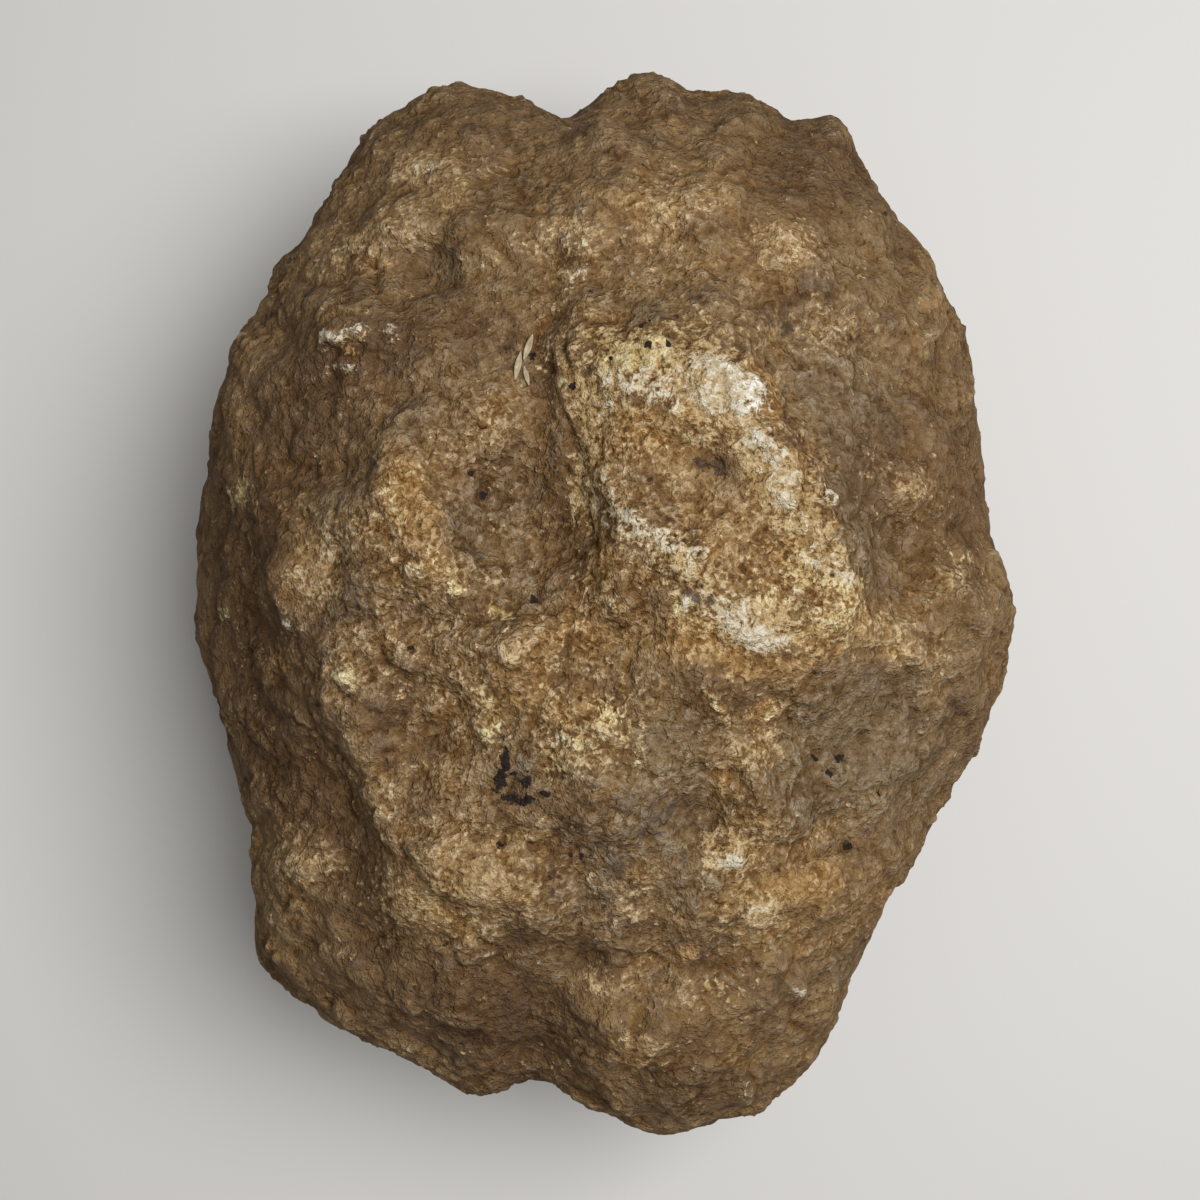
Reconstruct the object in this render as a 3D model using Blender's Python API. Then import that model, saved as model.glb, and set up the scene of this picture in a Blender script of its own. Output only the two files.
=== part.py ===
"""A whole, uncut geode: one lumpy brown nodule of stone, lying on a small flat spot on its back.

Metres, +Z up. The face with the white crest looks up, and the long way of the stone is +Y.
The origin is the middle of the stone's box in plan, on the surface that it lies on.
"""

import math

import bmesh
import bpy
import numpy as np
from mathutils import Vector, noise

MM = 0.001

# Driving sizes of the stone, in millimetres
CROWN_HEIGHT = 47.0  # from the rim, the widest level, up to the middle of the face
BELLY_DEPTH = 45.0  # from the rim down to where the back would end without its flat spot
FLAT_CUT = 2.4  # how much of the belly the flat spot takes away
CROWN_FULLNESS = 2.35  # 2 is an ellipse in section, and more is boxier
BELLY_FULLNESS = 2.05
SIGHT_HEIGHT = 250.0  # the face and the outline are laid out as an eye this far above the rim sees them
RIM_SCALE = 0.952  # the rim's own radius over the radius of the outline that the eye sees
EVEN_RADIUS = 68.0  # what the outline evens out to towards the middle of the face and of the back
MEAN_RADIUS = 58.0  # turns an angle from the stone's middle into a distance along its skin
NOTCH_REACH = 24  # degrees each way over which the outline evens out its notches, off the rim

# Mesh
CELLS_ACROSS = 76  # faces along each side of the cube that the stone is rounded from
FINAL_TRIANGLES = 9300
CUTTER_SIZE = 0.3  # metres

STONE_BROWN = (0.165, 0.104, 0.055, 1.0)
STONE_ROUGHNESS = 0.93

# The outline, counter-clockwise from the right-hand side, in millimetres from the eye's axis
OUTLINE = [
    (61.5, -4.0),
    (61.3, 3.5),
    (58.6, 11.0),
    (57.0, 24.0),
    (55.6, 38.0),
    (53.0, 46.0),
    (49.0, 54.5),
    (39.5, 67.0),
    (36.0, 72.5),
    (28.9, 72.7),
    (21.0, 77.2),
    (15.0, 77.5),
    (7.5, 80.2),
    (0.5, 77.2),
    (-5.5, 73.8),
    (-11.5, 77.0),
    (-20.0, 79.0),
    (-27.0, 77.8),
    (-31.5, 74.5),
    (-43.5, 58.0),
    (-54.8, 37.8),
    (-58.5, 21.0),
    (-60.8, 3.0),
    (-59.5, -4.5),
    (-55.8, -24.5),
    (-52.6, -35.2),
    (-52.3, -44.0),
    (-51.5, -51.0),
    (-42.0, -61.2),
    (-25.0, -70.3),
    (-17.5, -72.7),
    (-9.5, -70.5),
    (-1.3, -73.8),
    (5.0, -78.5),
    (15.5, -78.2),
    (25.0, -74.0),
    (32.5, -67.5),
    (36.0, -61.0),
    (38.8, -54.2),
    (42.3, -46.6),
    (46.8, -40.7),
    (52.3, -29.0),
    (57.0, -22.4),
]

# The raised crest: height, and its border as points with the width of the slope there
CREST_HEIGHT = 4.3
CREST_BORDER = [
    (1.5, 43.5, 7.5),
    (8.0, 46.5, 8.0),
    (16.5, 45.0, 7.5),
    (26.3, 36.8, 5.0),
    (29.3, 27.0, 4.5),
    (35.3, 16.5, 5.0),
    (39.8, 6.0, 5.0),
    (39.3, -1.5, 4.5),
    (31.5, -8.3, 5.0),
    (21.0, -12.0, 7.0),
    (10.5, -9.5, 8.0),
    (2.5, -2.0, 6.0),
    (0.8, 7.5, 4.2),
    (0.0, 16.5, 3.8),
    (-0.4, 25.5, 4.0),
    (0.0, 34.5, 5.5),
]

# Rounded forms on the face: centre, half length, half width, turn in degrees, height, flatness of the top
FACE_LUMPS = {
    "crest_top": ((17.0, 27.0), 19.0, 11.0, -50, 2.6, 1.2),
    "crest_end": ((31.0, 2.0), 10.0, 8.0, -60, 1.2, 1.2),
    "dish_in_the_crest": ((15.0, 19.0), 8.5, 6.0, -50, -2.4, 1.2),
    "bowl_left_of_the_crest": ((-10.5, 15.0), 17.0, 9.5, 82, -4.4, 1.4),
    "brow_of_the_bowl": ((-11.0, 45.0), 10.0, 8.0, 20, -2.2, 1.0),
    "left_shoulder": ((-29.0, 14.0), 17.0, 7.0, 82, 1.8, 1.0),
    "pink_knob": ((-12.5, -5.5), 5.5, 4.5, 40, 2.6, 1.2),
    "middle_hump": ((3.0, -20.0), 16.0, 13.0, 10, 3.0, 1.0),
    "left_gully": ((-25.0, -19.0), 10.0, 6.0, 75, -2.6, 1.0),
    "low_left_lump": ((-19.0, -40.0), 14.0, 10.0, -18, 3.6, 1.4),
    "foot_right": ((13.0, -65.0), 19.0, 11.0, 12, 3.6, 1.4),
    "foot_left": ((-28.0, -61.0), 17.0, 8.0, -22, 3.0, 1.2),
    "right_hollow": ((38.0, -21.0), 15.0, 12.5, 60, -4.0, 1.2),
    "right_valley": ((43.5, 17.0), 19.0, 7.0, 95, -3.2, 1.0),
    "right_rim_upper": ((51.0, 20.0), 8.0, 7.0, 90, 2.2, 1.0),
    "right_rim_lower": ((54.5, 1.0), 9.0, 7.0, 60, 2.6, 1.0),
    "low_right_lump": ((31.0, -44.0), 12.5, 7.5, 28, 3.2, 1.2),
    "cream_knob": ((20.5, -36.0), 6.0, 4.5, 10, 2.0, 1.2),
    "upper_left_pit": ((-25.5, 50.0), 6.0, 5.0, 0, -2.2, 1.2),
    "upper_left_nodule": ((-28.8, 57.5), 4.5, 4.0, 0, 2.0, 1.2),
    "left_knob": ((-37.0, 41.5), 6.5, 5.0, 40, 2.2, 1.2),
    "left_cheek": ((-44.0, 2.0), 7.0, 5.0, -62, 1.6, 1.0),
    "cheek_knob": ((-37.0, 8.0), 6.0, 4.5, -30, 2.0, 1.2),
    "ochre_ridge": ((-29.0, 13.0), 8.5, 3.6, -62, 2.0, 1.2),
    "pale_knob": ((-45.0, -37.0), 6.0, 5.0, 20, 2.4, 1.2),
    "white_knob": ((-38.0, 41.0), 5.0, 3.6, 20, 1.6, 1.2),
    "low_middle_knob": ((-3.0, -30.0), 7.0, 5.5, 20, 1.8, 1.2),
    "yellow_knob": ((-23.5, 5.5), 4.5, 4.0, 0, 1.6, 1.2),
    "foot_knob": ((23.0, -55.5), 6.0, 5.0, 30, 1.8, 1.2),
    "left_hollow": ((-38.0, 25.0), 12.0, 7.0, 70, -1.8, 1.0),
    "upper_right_plain": ((38.0, 38.0), 13.0, 9.0, -60, -2.0, 1.0),
    "upper_cheek": ((24.0, 54.0), 12.0, 7.0, -15, 2.0, 1.0),
    "top_fall": ((2.0, 74.0), 22.0, 7.0, 0, -3.0, 1.0),
}

# Ridges and grooves on the face: width, height at the middle of the line, and the line's points
FACE_LINES = {
    "upper_arm_of_the_crest": (4.2, 1.8, [(3, 39), (13, 39), (22, 35), (28, 25), (34, 11), (38, 2)]),
    "lower_arm_of_the_crest": (4.2, 1.8, [(0, 19), (7, 12.5), (15, 5.5), (24, -3), (30, -9)]),
    "ridge_over_the_right_hollow": (4.6, 2.6, [(24, -12), (34, -9), (45, -5), (57, -1)]),
    "brow_ridge": (7.0, 2.4, [(-16, 54), (-2, 57), (12, 60), (28, 56), (40, 48)]),
    "rim_of_the_bowl": (5.0, 2.0, [(-21, 36), (-26, 25), (-25, 9), (-19, 1), (-8, -3)]),
    "foot_groove": (5.2, -3.4, [(-32, -52), (-13, -50), (-2, -52), (10, -53.5), (22, -52.5), (38, -47)]),
    "groove_between_the_feet": (6.0, -4.6, [(-12, -51), (-11, -62), (-9, -75)]),
    "right_ledge_groove": (3.8, -2.4, [(24, -38), (33, -36), (42, -31), (52, -26)]),
    "slanting_groove": (3.6, -1.8, [(28, 62), (39, 51), (46, 36)]),
    "fold": (3.2, 1.8, [(15, -9), (19, -18), (23, -26), (24, -32)]),
    "second_fold": (2.8, 1.4, [(29, -12), (25, -20), (23, -27)]),
    "undercut_over_the_low_left": (3.2, -2.8, [(-27, -31), (-19, -33), (-10, -34), (-4, -38), (-2, -44)]),
    "middle_groove": (4.0, -1.6, [(2, -38), (10, -36), (16, -31), (20, -26)]),
}

# Steps on the face: width of the slope, height, reach of the changed side, and the line with it on the left
FACE_STEPS = {
    "left_flank": (
        4.5,
        -6.5,
        26.0,
        [(-26, -58), (-29, -46), (-34, -33), (-38, -21), (-45, -12), (-48, -1), (-55, 10), (-58, 26)],
    ),
}

# Lumps and hollows on the sides and the back: azimuth, elevation, half width and height
ROUND_LUMPS = [
    (12, -28, 17, 3.2),
    (48, -12, 13, -2.8),
    (58, -50, 18, 3.6),
    (95, -22, 15, 3.4),
    (128, -40, 14, -3.0),
    (150, -8, 15, 2.6),
    (172, -48, 19, 3.8),
    (196, -18, 12, -3.4),
    (222, -34, 16, 3.2),
    (246, -62, 15, -2.6),
    (262, -20, 13, 3.0),
    (283, -44, 13, -3.6),
    (304, -16, 16, 3.0),
    (327, -52, 18, 3.4),
    (345, -10, 10, -2.4),
    (30, -72, 16, -2.2),
    (140, -70, 15, 2.6),
]

# Natural roughness
ROLLING_SIZE = 27.0
ROLLING_HEIGHT = 3.2
ROLLING_PLACE = Vector((3.1, 7.7, 1.9))  # which part of the noise the stone takes
KNOB_SIZE = 10.5
KNOB_HEIGHT = 2.0
CRUMPLE_SIZE = 8.5
CRUMPLE_HEIGHT = 1.3
NOISE_MIDDLE = 0.45  # the middle of the knobs' and the crumples' range, which keeps the stone's size
OCTAVES = 3
FACE_ROLLING = 0.35  # how much of the rolling swells the face takes, beside its own forms
FACE_CRUMPLING = 1.55  # how much more of the knobs and crumples the face takes


def smoothstep(low, high, value):
    t = np.clip((value - low) / (high - low), 0.0, 1.0)
    return t * t * (3.0 - 2.0 * t)


def rim_radius(angle):
    """Radius of the outline at each angle, on a smooth closed curve through OUTLINE."""
    points = np.array(OUTLINE)
    angles = np.unwrap(np.arctan2(points[:, 1], points[:, 0]))
    radii = np.hypot(points[:, 0], points[:, 1])
    turn = 2.0 * math.pi
    start = angles[0]
    angles = np.concatenate([angles - turn, angles, angles + turn])
    radii = np.tile(radii, 3)
    slopes = np.gradient(radii, angles)
    at = start + np.mod(angle - start, turn)
    right = np.clip(np.searchsorted(angles, at), 1, len(angles) - 1)
    left = right - 1
    span = angles[right] - angles[left]
    t = (at - angles[left]) / span
    return (
        radii[left] * (1 + 2 * t) * (1 - t) ** 2
        + radii[right] * t * t * (3 - 2 * t)
        + slopes[left] * span * t * (1 - t) ** 2
        - slopes[right] * span * t * t * (1 - t)
    )


def rim_without_notches(angle):
    """Radius of the outline once its small notches are evened out."""
    shifts = np.radians(np.linspace(-NOTCH_REACH, NOTCH_REACH, 9))
    return np.mean([rim_radius(angle + shift) for shift in shifts], axis=0)


def lump(p, q, centre, half_length, half_width, turn, height, flatness):
    c, s = math.cos(math.radians(turn)), math.sin(math.radians(turn))
    dp, dq = p - centre[0], q - centre[1]
    along = (dp * c + dq * s) / half_length
    across = (dq * c - dp * s) / half_width
    return height * np.exp(-((along**2 + across**2) ** flatness))


def line_distance(p, q, points):
    """Distance to a line, the side that it is on (1 on the left), and how far along it is, from 0 to 1."""
    ends = np.array(points, float)
    lengths = np.hypot(*np.diff(ends, axis=0).T)
    total = lengths.sum()
    nearest = np.full(p.shape, np.inf)
    side = np.zeros(p.shape)
    share = np.zeros(p.shape)
    run = 0.0
    for start, end, length in zip(ends, ends[1:], lengths):
        step = (end - start) / length
        dp, dq = p - start[0], q - start[1]
        along = np.clip(dp * step[0] + dq * step[1], 0.0, length)
        gap = np.hypot(dp - along * step[0], dq - along * step[1])
        closer = gap < nearest
        nearest = np.where(closer, gap, nearest)
        side = np.where(closer, np.sign(step[0] * dq - step[1] * dp), side)
        share = np.where(closer, (run + along) / total, share)
        run += length
    return nearest, side, share


def ridge(p, q, width, height, points):
    gap, _, share = line_distance(p, q, points)
    low_ends = 0.35 + 0.65 * np.sin(math.pi * share)
    return height * low_ends * np.exp(-((gap / width) ** 2))


def step(p, q, width, height, reach, points):
    gap, side, share = line_distance(p, q, points)
    signed = gap * side
    faded_ends = smoothstep(0.0, 0.3, share) * smoothstep(1.0, 0.8, share)
    faded_reach = np.exp(-((np.maximum(signed, 0.0) / reach) ** 2))
    return height * faded_ends * faded_reach * smoothstep(-width, width, signed)


def crest(p, q):
    """The raised crest: level inside its border, each part of which slopes over its own width."""
    border = np.array(CREST_BORDER + CREST_BORDER[:1])
    nearest = np.full(p.shape, np.inf)
    slope = np.ones(p.shape)
    inside = np.zeros(p.shape, bool)
    for start, end in zip(border, border[1:]):
        way = end[:2] - start[:2]
        dp, dq = p - start[0], q - start[1]
        share = np.clip((dp * way[0] + dq * way[1]) / (way @ way), 0.0, 1.0)
        gap = np.hypot(dp - share * way[0], dq - share * way[1])
        closer = gap < nearest
        nearest = np.where(closer, gap, nearest)
        slope = np.where(closer, start[2] + share * (end[2] - start[2]), slope)
        spanned = (start[1] > q) != (end[1] > q)
        inside ^= spanned & (p < start[0] + (q - start[1]) * way[0] / way[1])
    signed = np.where(inside, nearest, -nearest)
    return CREST_HEIGHT * smoothstep(-slope, slope, signed)


def face_relief(p, q):
    """Height of the face's forms over the plain crown, where an eye above the stone sees p, q."""
    height = crest(p, q)
    for form in FACE_LUMPS.values():
        height += lump(p, q, *form)
    for form in FACE_LINES.values():
        height += ridge(p, q, *form)
    for form in FACE_STEPS.values():
        height += step(p, q, *form)
    return height


def cube_directions(cells):
    """A closed mesh of quads on a unit ball, as a bmesh, rounded from a cube with even cells."""
    mesh = bmesh.new()
    bmesh.ops.create_cube(mesh, size=2.0)
    bmesh.ops.subdivide_edges(mesh, edges=mesh.edges[:], cuts=cells - 1, use_grid_fill=True)
    for vertex in mesh.verts:
        even = Vector([math.tan(c * math.pi / 4.0) for c in vertex.co])
        vertex.co = even.normalized()
    return mesh


def plain_stone(directions):
    """The stone with no relief: the outline at the rim, and a rounded crown and belly."""
    angle = np.arctan2(directions[:, 1], directions[:, 0])
    level = directions[:, 2]
    flat = np.hypot(directions[:, 0], directions[:, 1])
    fullness = np.where(level > 0, CROWN_FULLNESS, BELLY_FULLNESS)
    depth = np.where(level > 0, CROWN_HEIGHT, BELLY_DEPTH)
    swell = (flat**fullness + np.abs(level) ** fullness) ** (-1.0 / fullness)
    even = rim_without_notches(angle)
    notched = smoothstep(0.66, 0.96, flat)
    rim = (even + (rim_radius(angle) - even) * notched) * RIM_SCALE
    blunt = smoothstep(0.15, 0.75, flat)
    rim = rim * blunt + (1.0 - blunt) * EVEN_RADIUS
    radius = rim * flat * swell
    return np.column_stack([radius * np.cos(angle), radius * np.sin(angle), depth * level * swell])


def raise_face(points):
    """Moves the points of the face towards the eye by the height of its relief."""
    eye = np.array([0.0, 0.0, SIGHT_HEIGHT])
    rays = eye - points
    rays /= np.linalg.norm(rays, axis=1)[:, None]
    scale = SIGHT_HEIGHT / (SIGHT_HEIGHT - points[:, 2])
    height = face_relief(points[:, 0] * scale, points[:, 1] * scale)
    height *= smoothstep(-2.0, 15.0, points[:, 2])
    return points + rays * height[:, None]


def raise_rounds(points, directions):
    """Adds the lumps and hollows of the sides and the back."""
    height = np.zeros(len(points))
    for azimuth, elevation, half_width, rise in ROUND_LUMPS:
        a, e = math.radians(azimuth), math.radians(elevation)
        toward = np.array([math.cos(a) * math.cos(e), math.sin(a) * math.cos(e), math.sin(e)])
        angle = np.arccos(np.clip(directions @ toward, -1.0, 1.0))
        height += rise * np.exp(-((angle * MEAN_RADIUS / half_width) ** 2))
    return points + directions * (height * smoothstep(8.0, -6.0, points[:, 2]))[:, None]


def knob(place):
    """A rounded top in the middle of each cell, and level ground where two cells meet."""
    near, second = noise.voronoi(place / KNOB_SIZE)[0][:2]
    return (NOISE_MIDDLE - near) * min(1.0, 3.0 * (second - near))


def crumple(place):
    return NOISE_MIDDLE - noise.turbulence(place / CRUMPLE_SIZE, OCTAVES, False)


def roughen(points, directions):
    """Adds the natural unevenness: rolling swells, rounded knobs and crumpled folds."""
    level = points[:, 2]
    rolling = FACE_ROLLING + (1.0 - FACE_ROLLING) * smoothstep(5.0, -12.0, level)
    fine = 1.0 + (FACE_CRUMPLING - 1.0) * smoothstep(10.0, 28.0, level)
    whole = smoothstep(-BELLY_DEPTH - 2.0, -BELLY_DEPTH + 12.0, level)
    places = [Vector(point) for point in points]
    swells = [noise.fractal(at / ROLLING_SIZE + ROLLING_PLACE, 1.0, 2.0, OCTAVES) for at in places]
    bumps = [KNOB_HEIGHT * knob(at) + CRUMPLE_HEIGHT * crumple(at) for at in places]
    rise = rolling * ROLLING_HEIGHT * np.array(swells) + fine * np.array(bumps)
    return points + directions * (rise * whole)[:, None]


def stone_points(directions):
    points = plain_stone(directions)
    points = raise_face(points)
    points = raise_rounds(points, directions)
    return roughen(points, directions)


def make_material():
    material = bpy.data.materials.new("geode_stone")
    material.use_nodes = True
    shader = material.node_tree.nodes["Principled BSDF"]
    shader.inputs["Base Color"].default_value = STONE_BROWN
    shader.inputs["Roughness"].default_value = STONE_ROUGHNESS
    shader.inputs["Metallic"].default_value = 0.0
    return material


def make_collection(name):
    collection = bpy.data.collections.new(name)
    bpy.context.scene.collection.children.link(collection)
    return collection


def make_stone(collection):
    mesh = cube_directions(CELLS_ACROSS)
    directions = np.array([vertex.co for vertex in mesh.verts])
    points = stone_points(directions)
    points[:, 2] += BELLY_DEPTH - FLAT_CUT
    for vertex, point in zip(mesh.verts, points):
        vertex.co = Vector(point) * MM
    data = bpy.data.meshes.new("geode")
    mesh.to_mesh(data)
    mesh.free()
    stone = bpy.data.objects.new("geode", data)
    stone.data.materials.append(make_material())
    collection.objects.link(stone)
    thin = stone.modifiers.new("fewer faces", "DECIMATE")
    thin.ratio = FINAL_TRIANGLES / (12.0 * CELLS_ACROSS**2)
    return stone


def cut_flat_spot(stone, collection):
    """Takes off what would lie below the table, which leaves the flat spot."""
    mesh = bmesh.new()
    bmesh.ops.create_cube(mesh, size=CUTTER_SIZE)
    bmesh.ops.translate(mesh, verts=mesh.verts[:], vec=(0.0, 0.0, -CUTTER_SIZE / 2.0))
    data = bpy.data.meshes.new("table_cutter")
    mesh.to_mesh(data)
    mesh.free()
    cutter = bpy.data.objects.new("table_cutter", data)
    cutter.hide_render = True
    cutter.display_type = "WIRE"
    collection.objects.link(cutter)
    flat = stone.modifiers.new("flat spot", "BOOLEAN")
    flat.operation = "DIFFERENCE"
    flat.object = cutter


def centre_in_plan(stone):
    """Brings the middle of the finished stone's box over the origin."""
    finished = stone.evaluated_get(bpy.context.evaluated_depsgraph_get())
    corners = np.array([tuple(corner) for corner in finished.bound_box])
    middle = (corners.max(axis=0) + corners.min(axis=0)) / 2.0
    stone.location = (-middle[0], -middle[1], 0.0)


def main():
    for item in list(bpy.data.objects):
        bpy.data.objects.remove(item)
    stone = make_stone(make_collection("geode"))
    cut_flat_spot(stone, make_collection("cutters"))
    centre_in_plan(stone)
    stone.data.shade_smooth()


main()
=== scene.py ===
"""The looks of a whole, uncut geode: its weathered brown skin, the white and yellow crust on its crest,
its stains and pits, and a scrap of dry husk lying in the bowl beside the crest."""

import math

import bpy
import numpy as np
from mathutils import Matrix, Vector, noise


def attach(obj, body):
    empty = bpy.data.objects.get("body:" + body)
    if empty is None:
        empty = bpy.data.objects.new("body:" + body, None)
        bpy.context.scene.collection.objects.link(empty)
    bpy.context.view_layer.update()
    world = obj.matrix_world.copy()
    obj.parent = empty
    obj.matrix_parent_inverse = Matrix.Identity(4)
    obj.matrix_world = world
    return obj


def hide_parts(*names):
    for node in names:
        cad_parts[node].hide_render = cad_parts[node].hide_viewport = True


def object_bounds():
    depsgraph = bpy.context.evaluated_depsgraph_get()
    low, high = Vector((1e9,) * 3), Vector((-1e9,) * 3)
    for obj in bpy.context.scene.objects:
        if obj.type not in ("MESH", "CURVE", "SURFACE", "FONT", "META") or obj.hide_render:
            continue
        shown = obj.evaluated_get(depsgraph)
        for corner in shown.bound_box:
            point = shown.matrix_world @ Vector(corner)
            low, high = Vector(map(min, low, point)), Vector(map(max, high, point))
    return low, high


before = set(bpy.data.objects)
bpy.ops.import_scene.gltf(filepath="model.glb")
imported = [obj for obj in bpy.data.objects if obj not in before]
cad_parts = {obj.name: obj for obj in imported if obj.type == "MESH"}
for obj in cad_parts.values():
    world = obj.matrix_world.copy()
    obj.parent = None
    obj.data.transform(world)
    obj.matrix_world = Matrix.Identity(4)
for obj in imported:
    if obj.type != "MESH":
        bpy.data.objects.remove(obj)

bl_info = {
    "name": "Geode",
    "version": (1, 0, 0),
    "blender": (4, 5, 0),
    "location": "View3D > Sidebar > Geode",
    "description": "Builds a whole geode with a crusted, weathered skin",
    "category": "Add Mesh",
}

CAD_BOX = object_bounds()
MM = 0.001

# The eye that the face is laid out for. A place in the photograph is in pixels, across and down.
PHOTO_MIDDLE = 600.0
PIXEL = 0.15  # millimetres at the rim's level
RIM_LEVEL = 42.6
EYE = (-0.6, -0.3)
EYE_HEIGHT = 250.0  # above the rim

# The face: how far up its skin looks and how high it lies, where it begins and where it is whole
FACE_SLOPES = (-0.02, 0.4)
FACE_LEVELS = (RIM_LEVEL - 14.0, RIM_LEVEL - 2.0)
STEEP_SLOPES = (0.85, 0.2)  # where the painted shade of the steep sides begins and is darkest

# The mesh: the part of the face that gets finer faces, and the base that stays flat, in millimetres
WELD_REACH = 0.01
FINE_SLOPE = 0.3
FINE_LEVEL = RIM_LEVEL - 4.0
BASE_HEIGHT = 0.3
BASE_FADE = 5.0  # the height at which the relief has its full strength
EVENING_ROUNDS = 6  # of smoothing after the remesh, and then after the face is made finer
FINE_ROUNDS = 2
NEAR_ROUNDS = 5  # of smoothing, which tell what stands out of its near and its wide surroundings
WIDE_ROUNDS = 40

# Relief of the skin: sizes and heights in millimetres
PUSH_SIZE = 9.0
PUSH_REACH = 3.5
KNOB_SIZE = 6.5
KNOB_HEIGHT = 0.55
PLATE_HEIGHT = 0.3
CRUMB_SIZE = 2.4
CRUMB_HEIGHT = 0.45
SMALL_PLATE_HEIGHT = 0.25
LUMP_SIZE = 7.0
LUMP_HEIGHT = 0.5
GRAIN_SIZE = 1.8
GRAIN_HEIGHT = 0.2
BACK_RELIEF = 0.15  # the share of the knobs' and the crumbs' heights that the back keeps
CRUST_EDGES = (0.3, 0.8)
PIT_DEPTH = 0.9
PIT_SPREAD = (1.2, 1.4)  # a pit's length and width in the relief, over those of its dark spot
RAGGED = (5.0, 1.3)  # size and reach of the noise that pushes the borders of the patches about
SLIGHT = (3.0, 0.5)  # and of the one that pushes the small forms about
HALF_AT_EDGE = 0.69  # makes a patch half as strong at its half length and half width
SOFT_TOP = 1.15
FLAT_TOP = 1.4

# Patterns in the colour: sizes in millimetres, and how light and shiny the skin may be
SWELL_SIZE = 24.0
BROAD_SIZE = 11.0
WARM_SIZE = 5.5
MOTTLE_SIZE = 4.5
TERRACE_SIZE = 3.2
FLAKE_SIZE = 1.5
FINE_SIZE = 0.7
PLATE_SIZE = 1.6
CHIP_SIZE = 0.65
CURL = (4.0, 2.2)  # size and reach of the noise that curls the patterns
SMALL_CURL = (1.4, 0.8)
WARM_POWERS = (0.8, 1.08, 1.6)  # for redder darks and creamier lights: those of red, green and blue
LIGHT_LIMIT = 0.75
SPECULAR = 0.2
HUSK_CURL = (3.0, 0.4)
STREAK_SIZE = 0.7
ROUND_SPOT = 1.0  # spots with a shorter half length are round
WIDE_PIT = 0.49  # pits with a longer half length are painted black, as painted shade in the pit

# The stage, in metres
KEY_PLACE = (0.15, 0.05, 0.46)
KEY_SIZE = 0.24
SKY_COLOUR = (1.0, 0.985, 0.96, 1.0)
NEAR_CLIP = 0.005

# Patches of the skin: place in the photograph, half length and half width in millimetres, turn and strength
# The white crust's brightest lump, painted brighter partly as a highlight
BRIGHT_CRUST_AND_HIGHLIGHT = [
    (748, 391, 2.2, 1.5, -45, 0.7), (732, 378, 1.8, 1.3, -40, 0.42), (712, 362, 1.8, 1.1, -40, 0.45),
    (757, 404, 1.2, 1, 0, 0.6),
]
WHITE_CRUST = [
    (700, 360, 2.2, 1.4, -40, 0.4), (747, 391, 3, 2.2, -45, 0.85), (731, 380, 3.4, 2.4, -40, 0.7),
    (708, 362, 2.6, 1.5, -35, 0.55), (718, 402, 3.4, 1.8, -15, 0.55), (680, 378, 4.6, 2.6, 0, 0.36),
    (660, 398, 3.6, 2, -15, 0.42), (634, 384, 3.2, 2, 20, 0.42), (643, 352, 3, 1.6, -15, 0.34),
    (609, 396, 2.6, 1.1, 80, 0.42), (694, 436, 2.8, 1.2, -55, 0.42), (750, 437, 3.2, 1.9, -55, 0.5),
    (766, 458, 3.2, 2, -45, 0.54), (786, 484, 2.6, 2, -50, 0.42), (787, 508, 2.8, 1.7, -30, 0.66),
    (828, 502, 2, 1.4, -60, 0.42), (838, 573, 3.2, 1.6, -25, 0.5), (812, 548, 3.4, 2, -60, 0.3),
    (806, 600, 4, 2.6, -40, 0.32), (601, 487, 3.4, 1.6, 80, 0.42), (622, 516, 3.4, 1.8, -40, 0.5),
    (645, 528, 3.8, 2.1, -35, 0.52), (668, 543, 2.6, 1.5, -35, 0.4), (694, 553, 2.8, 1.8, 60, 0.5),
    (712, 604, 3.6, 2.6, -25, 0.5), (736, 618, 4.2, 3.2, -30, 0.52), (760, 638, 3.8, 2.8, -30, 0.5),
    (778, 640, 2.4, 1.6, 30, 0.5), (734, 857, 2.8, 1.2, -8, 0.75), (758, 914, 2.6, 1.5, -20, 0.42),
    (293, 622, 1.6, 1, -60, 0.6), (336, 334, 1.5, 1.2, 0, 0.8), (360, 327, 1.5, 0.9, 30, 0.62),
    (345, 362, 2, 1, 10, 0.55), (331, 538, 3.4, 1.7, 75, 0.42), (392, 328, 1.2, 0.8, 0, 0.6),
    (565, 243, 4, 1.5, 5, 0.35), (577, 280, 2.2, 1.2, 60, 0.42), (513, 640, 2.2, 0.9, 60, 0.35),
    (557, 738, 2.4, 1.4, 0, 0.4), (432, 172, 3, 1.4, -10, 0.35), (350, 252, 2.2, 1.3, 20, 0.42),
    (828, 332, 2, 1.4, 0, 0.35), (746, 1090, 1.4, 1.2, 0, 0.5), (797, 987, 1.3, 1, 0, 0.6),
    (384, 488, 1, 0.8, 0, 0.7),
]
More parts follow.
